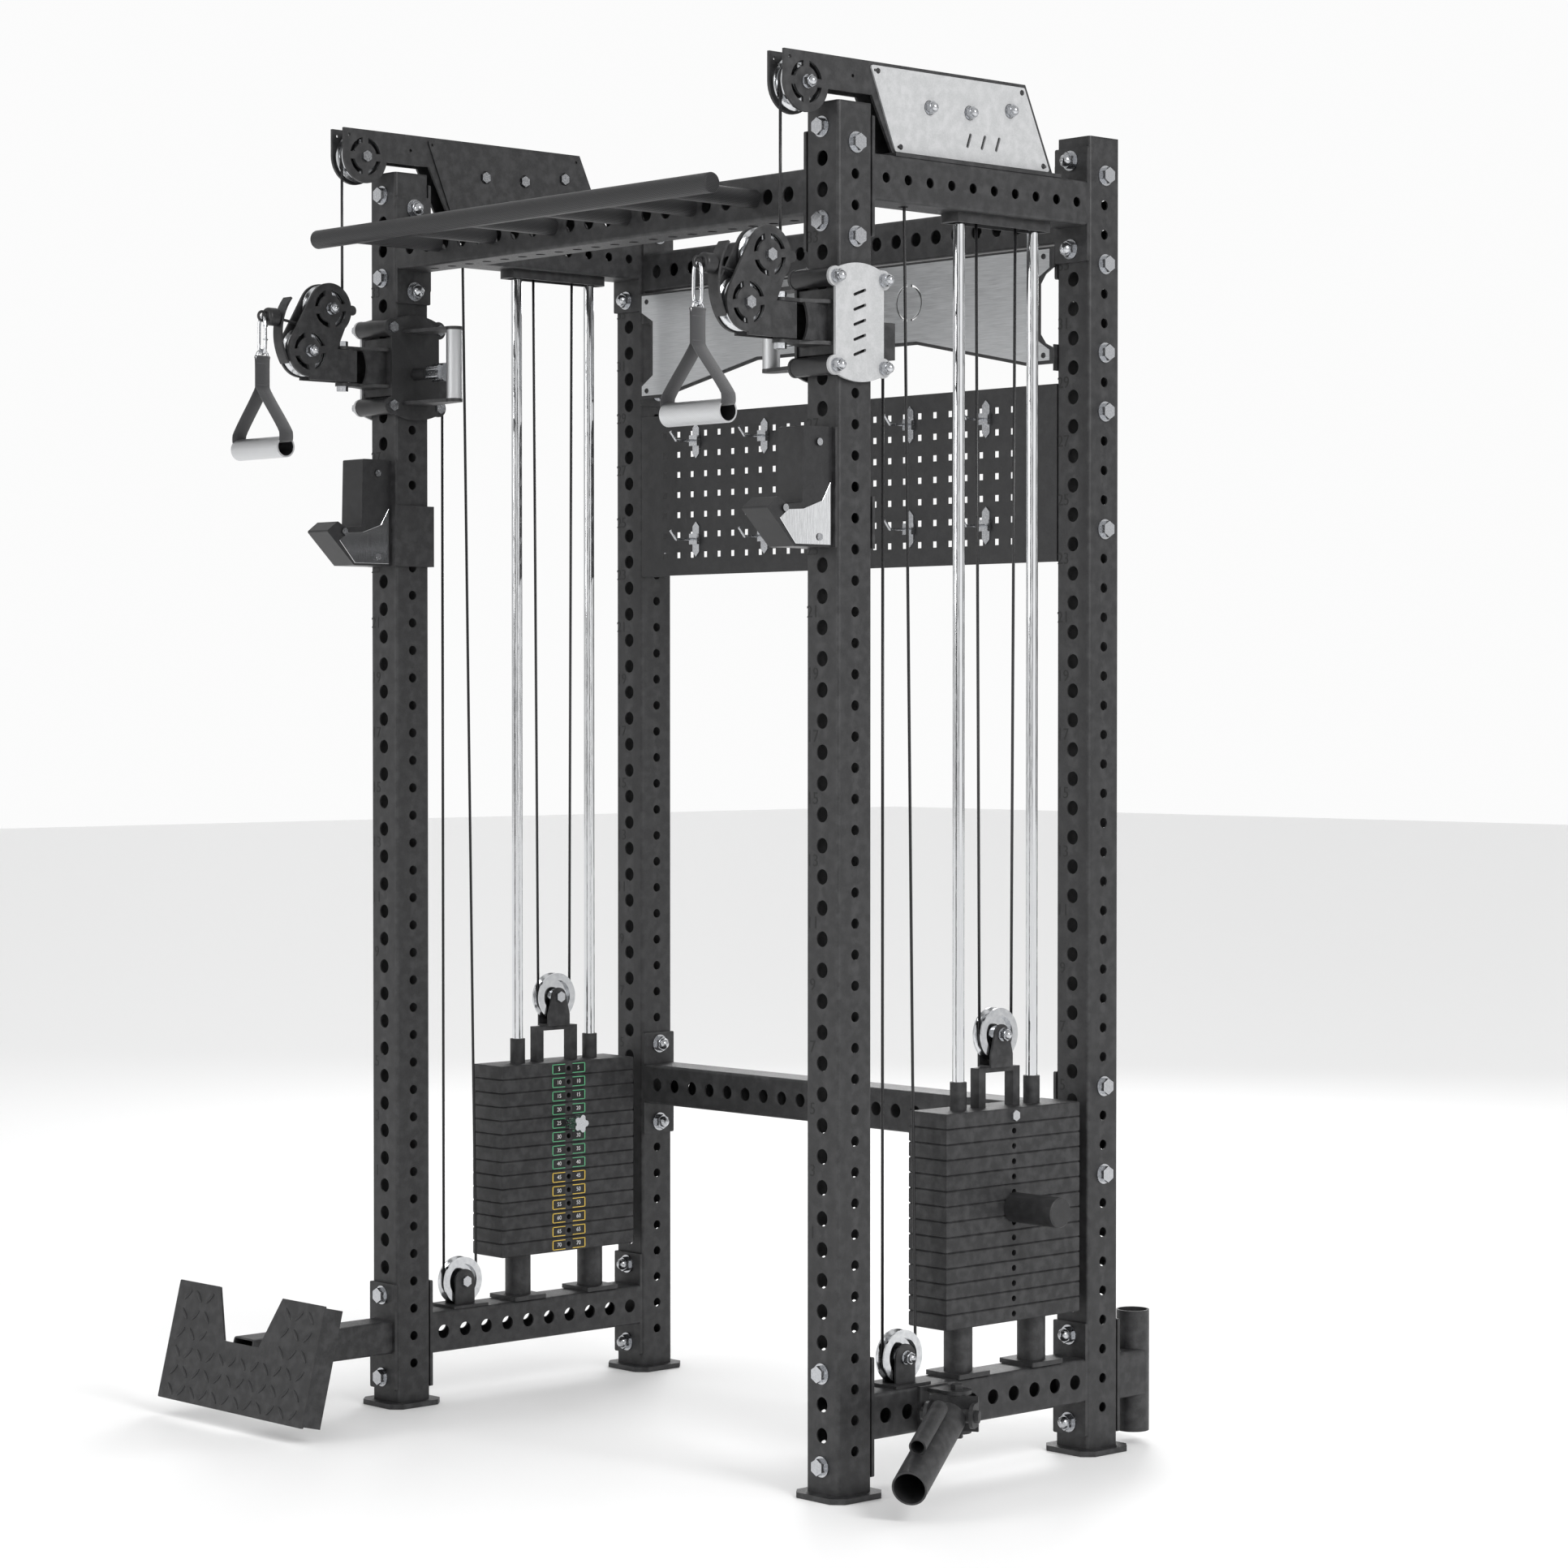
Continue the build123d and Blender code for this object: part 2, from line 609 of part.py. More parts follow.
def rod_top_bracket():
    # Downward channel that holds the tops of both guide rods under the side beam.
    half = TOP_PLATE_HALF_GAP + PLATE_THICK
    depth = 16.0
    length = ROD_SPACING + 60
    web = SlotOverall(length, 2 * half + 20) & Rectangle(length, 2 * half)
    channel = slab_z(Pos(HALF_X, STACK_Y) * Rot(0, 0, 90) * web, TOP_BEAM_BASE - depth, TOP_BEAM_BASE)
    hollow = Rectangle(length - 24, 2 * half - 8)
    pocket = slab_z(
        Pos(HALF_X, STACK_Y) * Rot(0, 0, 90) * hollow, TOP_BEAM_BASE - depth, TOP_BEAM_BASE - 6
    )
    body = channel - pocket
    for y in CABLE_DROPS[1:]:
        body = body - rod_z(CABLE_HOLE_R, TOP_BEAM_BASE - depth - 1, TOP_BEAM_BASE + 1, HALF_X, y)
    bolts = []
    for sign in (-1, 1):
        y = STACK_Y + sign * (ROD_SPACING / 2 - 22)
        head = Plane.XY.offset(TOP_BEAM_BASE - 6 - 6) * Pos(HALF_X, y)
        bolts.append(hex_prism(head, 16.0, 6.0))
    return [body] + bolts


# ---- weight stack ----
def row_top(row):
    return STACK_TOP - (row - 1) * ROW_PITCH


def weight_plate(row):
    top = row_top(row)
    base = top - ROW_PITCH + GAP
    plate = slab_z(Pos(HALF_X, STACK_Y) * Rectangle(STACK_WIDTH, STACK_LENGTH), base, top)
    rims = plate.edges().group_by(Axis.Z)
    plate = chamfer(rims[0] + rims[-1], PLATE_CHAMFER)
    plate = plate - rod_z(STEM_R + 2, base - 1, top + 1, HALF_X, STACK_Y)
    for sign in (-1, 1):
        y = STACK_Y + sign * ROD_SPACING / 2
        plate = plate - rod_z(ROD_R + 0.5, base - 1, top + 1, HALF_X, y)
    reach = STACK_WIDTH / 2 + 1
    return plate - rod_x(PIN_R + 0.5, HALF_X - reach, HALF_X + reach, STACK_Y, (top + base) / 2)


def pin_z(row):
    return row_top(row) - (ROW_PITCH - GAP) / 2


def stack_head():
    parts = [weight_plate(1)]
    for sign in (-1, 1):
        y = STACK_Y + sign * ROD_SPACING / 2
        ring = Circle(14.0) - Circle(ROD_R + 0.5)
        parts.append(slab_z(Pos(HALF_X, y) * ring, STACK_TOP, STACK_TOP + COLLAR_HEIGHT))
    stem = rod_z(STEM_R, STACK_BASE + 6, STACK_TOP - ROW_PITCH + GAP, HALF_X, STACK_Y)
    cap = rod_z(STEM_R + 1.5, STACK_TOP - ROW_PITCH + GAP, STACK_TOP, HALF_X, STACK_Y)
    drills = [
        rod_x(PIN_R + RUNNING_FIT, HALF_X - 20, HALF_X + 20, STACK_Y, pin_z(row))
        for row in range(2, STACK_ROWS + 1)
    ]
    parts.append(stem + cap - drills)
    half = 49.0
    yoke_top = STACK_TOP + YOKE_HEIGHT
    arch = outline(
        [
            (-half, STACK_TOP),
            (-half, yoke_top),
            (half, yoke_top),
            (half, STACK_TOP),
            (half - 16, STACK_TOP),
            (half - 16, yoke_top - 8),
            (16 - half, yoke_top - 8),
            (16 - half, STACK_TOP),
        ]
    )
    parts.append(slab_x(Pos(STACK_Y, 0) * arch, HALF_X - 10, HALF_X + 10))
    outer = BRACKET_HALF_GAP + BRACKET_THICK
    ear = outline(
        [
            (-26, yoke_top + 4),
            (26, yoke_top + 4),
            (26, yoke_top + 22),
            (17, STACK_PULLEY_Z),
            (-17, STACK_PULLEY_Z),
            (-26, yoke_top + 22),
        ]
    )
    ear = ear + disc(17.0, 0, STACK_PULLEY_Z) - disc(AXLE_R + RUNNING_FIT, 0, STACK_PULLEY_Z)
    bridge = block((HALF_X - outer, HALF_X + outer), (STACK_Y - 26, STACK_Y + 26), (yoke_top, yoke_top + 4))
    left_ear = slab_x(Pos(STACK_Y, 0) * ear, HALF_X - outer, HALF_X - BRACKET_HALF_GAP)
    right_ear = slab_x(Pos(STACK_Y, 0) * ear, HALF_X + BRACKET_HALF_GAP, HALF_X + outer)
    parts.append(bridge + left_ear + right_ear)
    parts += axle_set(HALF_X, STACK_Y, STACK_PULLEY_Z, outer, BRACKET_HALF_GAP)
    bolt_plane = Plane(origin=(HALF_X + STACK_WIDTH / 2, STACK_Y, pin_z(1)), z_dir=(1, 0, 0))
    parts.append(hex_prism(bolt_plane, 16.0, 6.0))
    parts.append(wrap((STACK_Y, STACK_PULLEY_Z), 180, 360))
    return parts


def lifted_plates():
    return [weight_plate(row) for row in range(2, LIFTED_ROWS + 1)]


def resting_plates():
    return [weight_plate(row) for row in range(LIFTED_ROWS + 1, STACK_ROWS + 1)]


def selector_pin():
    z = pin_z(LIFTED_ROWS)
    face = HALF_X - STACK_WIDTH / 2
    shaft = rod_x(PIN_R, face - 10, HALF_X + 14, STACK_Y, z)
    collar = rod_x(9.0, face - 18, face - GAP, STACK_Y, z)
    knob = star_knob(face - 38, face - 18, STACK_Y, z, 17.0)
    return [shaft + collar + knob]


def star_knob(x0, x1, y, z, radius):
    star = Circle(radius * 0.72)
    for index in range(5):
        star = star + Rot(0, 0, 72 * index) * Pos(radius * 0.66, 0) * Circle(radius * 0.34)
    knob = slab_x(Pos(y, z) * star, x0, x1)
    return knob


def loading_peg():
    # The short stub ends before the lifting stem, so that the plates above can rise.
    z = pin_z(PEG_ROW)
    face = HALF_X + STACK_WIDTH / 2
    peg = rod_x(PEG_R, face, face + PEG_LENGTH, STACK_Y, z)
    peg = chamfer(peg.edges().filter_by(GeomType.CIRCLE).sort_by(Axis.X)[-1], 2.0)
    stub = rod_x(PIN_R, face - 30, face, STACK_Y, z)
    return [peg + stub]


def stack_supports():
    parts = []
    foot = 8.0
    for sign in (-1, 1):
        y = STACK_Y + sign * ROD_SPACING / 2
        square = Pos(HALF_X, y) * RectangleRounded(TUBE + 4, TUBE, 3.0)
        base = slab_z(square, LOW_BEAM_TOP, LOW_BEAM_TOP + foot)
        ring = Circle(POST_R) - Circle(ROD_R + RUNNING_FIT)
        tube = slab_z(Pos(HALF_X, y) * ring, LOW_BEAM_TOP + foot, STACK_BASE)
        parts += [base, tube]
    return parts


def guide_rods():
    base = LOW_BEAM_TOP + 8.0
    top = TOP_BEAM_BASE - 6
    ends = [STACK_Y - ROD_SPACING / 2, STACK_Y + ROD_SPACING / 2]
    return [rod_z(ROD_R, base, top, HALF_X, y) for y in ends]


def low_bracket():
    y, z = LOW_PULLEY
    outer = BRACKET_HALF_GAP + BRACKET_THICK
    base = LOW_BEAM_TOP
    ear = outline([(-22, base + 5), (22, base + 5), (22, z), (-22, z)]) + disc(22.0, 0, z)
    ear = ear - disc(AXLE_R + RUNNING_FIT, 0, z)
    foot = block((HALF_X - 34, HALF_X + 34), (y - 40, y + 40), (base, base + 5))
    foot = foot - block((HALF_X - 11, HALF_X + 11), (y - 20, y + 20), (base - 1, base + 6))
    ears = []
    for lo, hi in ((-outer, -BRACKET_HALF_GAP), (BRACKET_HALF_GAP, outer)):
        ears.append(slab_x(Pos(y, 0) * ear, HALF_X + lo, HALF_X + hi))
    return [foot + ears[0] + ears[1]]


# ---- carriage ----
def roller_spots():
    spots = []
    for sign_y in (-1, 1):
        for sign_z in (-1, 1):
            spots.append((-HALF_Y + sign_y * ROLLER_Y, CARRIAGE_Z + sign_z * ROLLER_PITCH_Z / 2))
    return spots


def carriage_plate_outline():
    half_z = ROLLER_PITCH_Z / 2
    shape = Rectangle(2 * (ROLLER_Y + 0.5), 2 * half_z)
    for sign in (-1, 1):
        top = ThreePointArc((-68, sign * 74), (0, sign * 95), (68, sign * 74))
        sides = Polyline((68, sign * 74), (68, sign * 64), (-68, sign * 64), (-68, sign * 74))
        shape = shape + make_face([top, sides])
        for side in (-1, 1):
            shape = shape + disc(16.0, side * ROLLER_Y, sign * half_z)
    for sign in (-1, 1):
        for side in (-1, 1):
            shape = shape - disc(AXLE_R + RUNNING_FIT, side * ROLLER_Y, sign * half_z)
    return Pos(-HALF_Y, CARRIAGE_Z) * shape


def carriage_frame():
    sheet = carriage_plate_outline()
    slotted = sheet
    for step in range(-2, 3):
        slotted = slotted - Pos(-HALF_Y, CARRIAGE_Z + step * PLATE_SLOT_PITCH) * SlotOverall(30, 5, rotation=20)
    parts = [slab_x(slotted, HALF_X + PLATE_IN, HALF_X + PLATE_IN + CARRIAGE_PLATE)]
    inner_hole = disc(PLUNGER_R + RUNNING_FIT, -HALF_Y, PIN_HOLE_Z)
    inner = slab_x(sheet - inner_hole, HALF_X - PLATE_IN - CARRIAGE_PLATE, HALF_X - PLATE_IN)
    inner_face = HALF_X - PLATE_IN - CARRIAGE_PLATE
    for z in (CARRIAGE_Z - 65, CARRIAGE_Z + 64):
        arm = outline(
            [
                (inner_face, -HALF_Y - 30),
                (inner_face, -HALF_Y + 30),
                (HALF_X - GRIP_INSET + 4, -HALF_Y + 15),
                (HALF_X - GRIP_INSET + 4, -HALF_Y - 15),
            ]
        ) + disc(15.0, HALF_X - GRIP_INSET, -HALF_Y)
        parts.append(slab_z(arm, z - 3, z + 3))
    barrel = Pos(-HALF_Y, PIN_HOLE_Z) * (Circle(11.0) - Circle(PLUNGER_R + RUNNING_FIT))
    parts.append(inner + slab_x(barrel, inner_face - PLUNGER_BARREL, inner_face))
    grip_ring = Circle(GRIP_R) - Circle(5.0)
    grip_place = Pos(HALF_X - GRIP_INSET, -HALF_Y)
    parts.append(slab_z(grip_place * grip_ring, CARRIAGE_Z - 62, CARRIAGE_Z + 61))
    front = -HALF_Y - HALF_TUBE - PLATE_CLEAR
    web_x = (HALF_X - PLATE_IN, HALF_X + PLATE_IN)
    parts.append(block(web_x, (front - 6, front), (CARRIAGE_Z - 52, CARRIAGE_Z + 52)))
    for z in EAR_Z:
        right = [(36, front - 6), (13, front - 56), (13, SWIVEL_Y)]
        left = [(-x, y) for x, y in reversed(right)]
        ear = outline(right + left)
        ear = ear + disc(13.0, 0, SWIVEL_Y) - disc(AXLE_R + RUNNING_FIT, 0, SWIVEL_Y)
        parts.append(slab_z(Pos(HALF_X, 0) * ear, z - 3, z + 3))
    web = outline(
        [
            (front - 6, EAR_Z[0] + 3),
            (front - 6, EAR_Z[1] - 3),
            (front - 58, EAR_Z[1] - 3),
            (front - 58, EAR_Z[0] + 3),
        ]
    )
    middle = (EAR_Z[0] + EAR_Z[1]) / 2
    web = web - disc(60.0, front - 108, middle)
    for x in (-24.0, 19.0):
        parts.append(slab_x(web, HALF_X + x, HALF_X + x + 5))
    rear = -HALF_Y + HALF_TUBE + PLATE_CLEAR
    rear_plate = block(web_x, (rear, rear + 6), (CARRIAGE_Z - 52, CARRIAGE_Z + 52))
    tab_y = (rear + 6, LOW_PULLEY[0] - CABLE_PATH_R + 14)
    tab = block((HALF_X - 14, HALF_X + 14), tab_y, CABLE_TAB)
    parts.append(rear_plate + tab)
    hinge = rod_z(AXLE_R, EAR_Z[0] - 12, EAR_Z[1] + 12, HALF_X, SWIVEL_Y)
    for low, high in ((EAR_Z[0] - 12, EAR_Z[0] - 3), (EAR_Z[1] + 3, EAR_Z[1] + 12)):
        hinge = hinge + hex_prism(Plane.XY.offset(low) * Pos(HALF_X, SWIVEL_Y), 18.0, high - low)
    parts.append(hinge)
    return parts


def carriage_rollers():
    parts = []
    inside = PLATE_IN - GAP
    outside = PLATE_IN + CARRIAGE_PLATE
    for y, z in roller_spots():
        ring = Pos(y, z) * (Circle(ROLLER_R) - Circle(AXLE_R + RUNNING_FIT))
        parts.append(slab_x(ring, HALF_X - inside, HALF_X + inside))
        shank = rod_x(AXLE_R, HALF_X - outside, HALF_X + outside + 9, y, z)
        head_plane = Plane(origin=(HALF_X - outside, y, z), z_dir=(-1, 0, 0))
        parts.append(shank + hex_prism(head_plane, 18.0, 7.0))
        start = (HALF_X - outside, y, z)
        parts.append(dome_nut(start, (1, 0, 0), 2 * outside, 18.0, AXLE_R, 11.0))
    return parts


def carriage_pin():
    # Twist-to-hold plunger, stored drawn back so that its tip clears the upright.
    tip = HALF_X - HALF_TUBE - GAP
    barrel_end = HALF_X - PLATE_IN - CARRIAGE_PLATE - PLUNGER_BARREL
    knob_face = barrel_end - PLUNGER_TRAVEL - GAP
    pin = rod_x(PLUNGER_R, knob_face, tip, -HALF_Y, PIN_HOLE_Z)
    knob = star_knob(knob_face - 34, knob_face, -HALF_Y, PIN_HOLE_Z, 17.0)
    return [pin + knob]


# ---- swivel head and handle ----
def swivel_outline():
    low = EAR_Z[0] + 4 + GAP
    high = EAR_Z[1] - 4 - GAP
    lean = math.atan2(UPPER[0] - LOWER[0], UPPER[1] - LOWER[1])
    side_y = HEAD_LOBE * math.cos(lean)
    side_z = HEAD_LOBE * math.sin(lean)
    shape = disc(HEAD_LOBE, *UPPER) + disc(HEAD_LOBE, *LOWER)
    shape = shape + outline(
        [
            (UPPER[0] - side_y, UPPER[1] + side_z),
            (UPPER[0], UPPER[1]),
            (UPPER[0] + 32, UPPER[1] - 33),
            (UPPER[0] + 15, high),
            (LOWER[0], high),
            (LOWER[0] - side_y, LOWER[1] + side_z),
        ]
    )
    arm = outline([(LOWER[0], low), (SWIVEL_Y + 20, low), (SWIVEL_Y + 20, high), (LOWER[0], high)])
    shape = shape + arm + disc(9.0, UPPER[0] + HEAD_LOBE + 2, UPPER[1])
    arcs = Circle(ARC_SLOT[1]) - Circle(ARC_SLOT[0])
    arcs = arcs - Rectangle(ARC_BRIDGE, 2 * HEAD_LOBE) - Rectangle(2 * HEAD_LOBE, ARC_BRIDGE)
    arcs = Rot(0, 0, 8) * arcs
    for centre in (UPPER, LOWER):
        shape = shape - Pos(*centre) * arcs - disc(AXLE_R + RUNNING_FIT, *centre)
    return shape, low, high


def swivel_head():
    shape, low, high = swivel_outline()
    outer = HEAD_HALF_GAP + HEAD_PLATE
    parts = []
    for lo, hi in ((-outer, -HEAD_HALF_GAP), (HEAD_HALF_GAP, outer)):
        parts.append(slab_x(shape, HALF_X + lo, HALF_X + hi))
    ring = Circle(HEAD_HALF_GAP) - Circle(AXLE_R + RUNNING_FIT)
    parts.append(slab_z(Pos(HALF_X, SWIVEL_Y) * ring, low, high))
    for centre in (UPPER, LOWER):
        parts += axle_set(HALF_X, centre[0], centre[1], outer, HEAD_HALF_GAP, -1)
    keeper = (UPPER[0] + HEAD_LOBE + 2, UPPER[1])
    parts.append(rod_x(4.0, HALF_X - HEAD_HALF_GAP, HALF_X + HEAD_HALF_GAP, *keeper))
    band = Circle(GUARD_R) - Circle(GUARD_R - 4)
    sector = outline([(0, 0), (-150, 118), (-190, 0), (-150, -92)])
    arc = Pos(*GUARD_CENTRE) * (band & sector)
    guard = slab_x(arc, HALF_X - HEAD_HALF_GAP, HALF_X + HEAD_HALF_GAP)
    guard = guard - rod_y(4.0, HANDLE_Y, -500, HALF_X, HANDLE_TOP_Z)
    parts.append(guard)
    parts.append(head_cable())
    stop_front = HANDLE_Y + 6
    stop = rod_y(STOP_R, stop_front, HANDLE_Y + 32, HALF_X, HANDLE_TOP_Z)
    stop = fillet(stop.edges().filter_by(GeomType.CIRCLE), 6.0)
    stop = stop - rod_y(CABLE_R, stop_front + 12, -500, HALF_X, HANDLE_TOP_Z)
    eye = Pos(HALF_X, HANDLE_Y - 1, HANDLE_TOP_Z) * Rot(0, 90, 0) * Torus(8.0, 2.5)
    parts.append(stop + eye)
    return parts


def head_cable():
    # Wraps under the upper pulley and leaves between the two pulleys to the stop.
    end = (HANDLE_Y + 20, HANDLE_TOP_Z)
    angle = leaving_angle(end)
    leave_point = on_circle(UPPER, angle)
    return wrap(UPPER, 0, angle) + straight_cable(leave_point, end)


def leaving_angle(end):
    # Angle in degrees on the upper pulley where the straight run to the stop is tangent.
    dy = end[0] - UPPER[0]
    dz = end[1] - UPPER[1]
    reach = math.hypot(dy, dz)
    return math.degrees(math.atan2(dz, dy) + math.acos(CABLE_PATH_R / reach))


def straight_cable(a, b):
    start = (HALF_X, a[0], a[1])
    length = math.hypot(b[0] - a[0], b[1] - a[1])
    direction = (0, b[0] - a[0], b[1] - a[1])
    return extrude(Plane(origin=start, z_dir=direction) * Circle(CABLE_R), amount=length)


def cable_arc(a, m, b):
    path = Plane.YZ.offset(HALF_X) * ThreePointArc(a, m, b)
    return sweep(Plane(origin=path @ 0, z_dir=path % 0) * Circle(CABLE_R), path)


def on_circle(centre, degrees):
    angle = math.radians(degrees)
    return (centre[0] + CABLE_PATH_R * math.cos(angle), centre[1] + CABLE_PATH_R * math.sin(angle))


def wrap(centre, start_deg, end_deg):
    middle = (start_deg + end_deg) / 2
    return cable_arc(on_circle(centre, start_deg), on_circle(centre, middle), on_circle(centre, end_deg))


def fixed_cable():
    a_pulley, b_pulley, c_pulley = INNER_PULLEYS
    low = LOW_PULLEY
    rise_start = on_circle(low, 0)
    rise_end = on_circle(a_pulley, 180)
    pieces = [
        wrap(low, -180, 0),
        straight_cable(rise_start, rise_end),
        wrap(a_pulley, 180, 90),
        straight_cable(on_circle(a_pulley, 90), on_circle(b_pulley, 90)),
        wrap(b_pulley, 90, 0),
    ]
    top = [
        wrap(FRONT_PULLEY, 180, 90),
        straight_cable(on_circle(FRONT_PULLEY, 90), on_circle(c_pulley, 90)),
        wrap(c_pulley, 90, 0),
    ]
    return pieces + top


def stack_cable():
    centre = (STACK_Y, STACK_PULLEY_Z + GAP)
    return [
        straight_cable(on_circle(INNER_PULLEYS[1], 0), on_circle(centre, 180)),
        straight_cable(on_circle(centre, 0), on_circle(INNER_PULLEYS[2], 0)),
    ]


def front_cable():
    return [straight_cable(on_circle(FRONT_PULLEY, 180), (SWIVEL_Y, UPPER[1]))]


def low_cable():
    drop = LOW_PULLEY[0] - CABLE_PATH_R
    return [straight_cable((drop, CABLE_TAB[0]), on_circle(LOW_PULLEY, 180))]


def link(y, z_top, z_base, half_width, wire):
    # Closed oval wire link standing in the XZ plane.
    centre_top = z_top - half_width
    centre_base = z_base + half_width
    profile = Pos(half_width, 0) * Circle(wire)
    bend = revolve(Plane.XY * profile, Axis.Y, -180)
    top = Pos(HALF_X, y, centre_top) * bend
    base = Pos(HALF_X, y, centre_base) * Rot(0, 180, 0) * bend
    left = rod_z(wire, centre_base, centre_top, HALF_X - half_width, y)
    right = rod_z(wire, centre_base, centre_top, HALF_X + half_width, y)
    return top + left + base + right


def handle_strap():
    y = HANDLE_Y - 1
    link_base = PIVOT_Z - LINK_LENGTH
    carabiner = link(y, PIVOT_Z, link_base, LINK_HALF, WIRE_R)
    ring_z = link_base + WIRE_R + GAP - (RING_R - RING_WIRE_R)
    ring_place = Pos(HALF_X, y, ring_z) * Rot(0, 90, 0)
    ring = ring_place * Torus(RING_R, RING_WIRE_R)
    half = HANDLE_GRIP_LENGTH / 2 + GAP
    shoulder = HANDLE_GRIP_Z + HANDLE_GRIP_R + 8
    web_low = HANDLE_GRIP_Z + 8
    fork = HANDLE_TOP_Z - 128
    neck_top = ring_z - RING_R + 6
    right = [
        (4, neck_top),
        (4, fork),
        (half + 3, shoulder),
        (half + 3, web_low),
        (half, web_low),
        (half, shoulder - 1),
        (0, fork - 6),
    ]
    left = [(-x, z) for x, z in reversed(right[:-1])]
    sheet = Pos(HALF_X, 0) * outline(right + left)
    strap = slab_y(sheet, y - STRAP_WIDTH / 2, y + STRAP_WIDTH / 2)
    web = block((HALF_X - half - 3, HALF_X + half + 3), (y - 10.8, y + 10.8), (web_low, web_low + 3))
    return [carabiner, ring, (strap + web) - ring_place * Torus(RING_R, RING_WIRE_R + GAP)]


def handle_grip():
    ring = Circle(HANDLE_GRIP_R) - Circle(HANDLE_GRIP_R - 3)
    half = HANDLE_GRIP_LENGTH / 2
    return [slab_x(Pos(HANDLE_Y - 1, HANDLE_GRIP_Z) * ring, HALF_X - half, HALF_X + half)]


# ---- accessories on the frame ----
def jhook():
    face = -OUTER_Y - HOOK_CLEAR
    profile = outline(
        [
            (face - 6, HOOK_TOP),
            (face - 68, HOOK_TOP),
            (face - 71, HOOK_SHELF + 6),
            (face - 104, HOOK_SHELF + 2),
            (face - 124, HOOK_SHELF + 14),
            (face - 148, HOOK_SHELF - 4),
            (face - 88, HOOK_BASE),
            (face - 6, HOOK_BASE),
        ],
        3.0,
    )
    body = slab_x(profile, HALF_X - 30, HALF_X + 30)
    side_x = (INNER_X - 7, INNER_X - 1)
    back = block((side_x[0], OUTER_X), (face - 6, face), (HOOK_BASE, HOOK_TOP))
    rear = -INNER_Y + HOOK_CLEAR
    side = block(side_x, (face - 1, rear + 6), (HOOK_BASE, HOOK_BASE + 110))
    tail = block((side_x[0], OUTER_X), (rear, rear + 6), (HOOK_BASE, HOOK_BASE + 84))
    pin = rod_y(FACE_HOLE_R - GAP, face - 6, -OUTER_Y + 40, HALF_X, face_hole_z(HOOK_PIN_HOLE))
    steel = back + side + tail + pin
    spots = ((face - 36, HOOK_TOP - 25), (face - 110, HOOK_SHELF - 4), (face - 36, HOOK_BASE + 16))
    screws = [rod_x(6.0, HALF_X - 34, HALF_X + 34, y, z) for y, z in spots]
    return [body - screws, steel] + screws


def foot_plate():
    x = -HALF_X
    half = FOOT_PLATE_WIDTH / 2
    top = FOOT_PLATE_LENGTH
    sheet = outline(
        [
            (-half, 0),
            (half, 0),
            (half, top),
            (95, top),
            (52, top - 92),
            (-52, top - 92),
            (-95, top),
            (-half, top),
        ],
        3.0,
    )
    thick = 4.0
    plate = slab_y(sheet, 0, thick)
    for sign in (-1, 1):
        edge = sorted((sign * half, sign * (half - thick)))
        plate = plate + block((edge[0], edge[1]), (thick - 0.5, 40), (3, top - 3))
    lean = Pos(x, FOOT_PLATE_BASE[0], FOOT_PLATE_BASE[1]) * Rot(-FOOT_PLATE_TILT, 0, 0)
    plate = lean * plate
    clear = lean * block((-300, 300), (-200, thick), (-100, 400))
    ring = square_ring(FOOT_ARM, FOOT_ARM, WALL, TUBE_CORNER)
    arm = slab_y(Pos(x, LOW_SIDE_Z) * ring, -720, -OUTER_Y - FLANGE_THICK) - clear
    base = flange_y(-OUTER_Y - FLANGE_THICK, -OUTER_Y, LOW_SIDE_Z, x)
    return [plate, arm, base]


def barbell_holder():
    x = HALF_X
    start = OUTER_Y + FLANGE_THICK
    base = flange_y(OUTER_Y, start, LOW_SIDE_Z, x)
    ring = square_ring(60, 80, WALL, TUBE_CORNER)
    around = rod_z(HOLDER_R, 0, 300, x, HOLDER_Y)
    arm = slab_y(Pos(x, LOW_SIDE_Z - 4) * ring, start, HOLDER_Y) - around
    arm = arm.solids().sort_by(SortBy.VOLUME)[-1]
    sleeve = slab_z(Pos(x, HOLDER_Y) * (Circle(HOLDER_R) - Circle(HOLDER_BORE)), 24, 230)
    cap = slab_z(Pos(x, HOLDER_Y) * Circle(HOLDER_R), 20, 24)
    return [base, arm, sleeve + cap]


def landmine_bracket():
    y = YAW_POINT[1]
    back = block((OUTER_X, OUTER_X + 6), (y - 40, y + 40), (LOW_SIDE_Z - 38, LOW_SIDE_Z + 38))
    parts = [back]
    reach = YAW_POINT[0] - OUTER_X - 6
    for z in (LOW_SIDE_Z - 32, LOW_SIDE_Z + 32):
        ear = Pos(YAW_POINT[0], y) * (Circle(24) + Pos(-reach / 2, 0) * Rectangle(reach, 48))
        ear = ear - disc(AXLE_R + RUNNING_FIT, YAW_POINT[0], y)
        parts.append(slab_z(ear, z - 3, z + 3))
    pin = rod_z(AXLE_R, LOW_SIDE_Z - 44, LOW_SIDE_Z + 44, *YAW_POINT)
    for low in (LOW_SIDE_Z - 44, LOW_SIDE_Z + 35):
        pin = pin + hex_prism(Plane.XY.offset(low) * Pos(*YAW_POINT), 18.0, 9.0)
    parts.append(pin)
    for dy in (-28, 28):
        plane = Plane(origin=(OUTER_X + 6, y + dy, LOW_SIDE_Z), z_dir=(1, 0, 0))
        parts.append(hex_prism(plane, 18.0, 7.0))
    return parts


def landmine_place():
    return Pos(YAW_POINT[0], YAW_POINT[1], LOW_SIDE_Z) * Rot(0, 0, YAW_DEG)


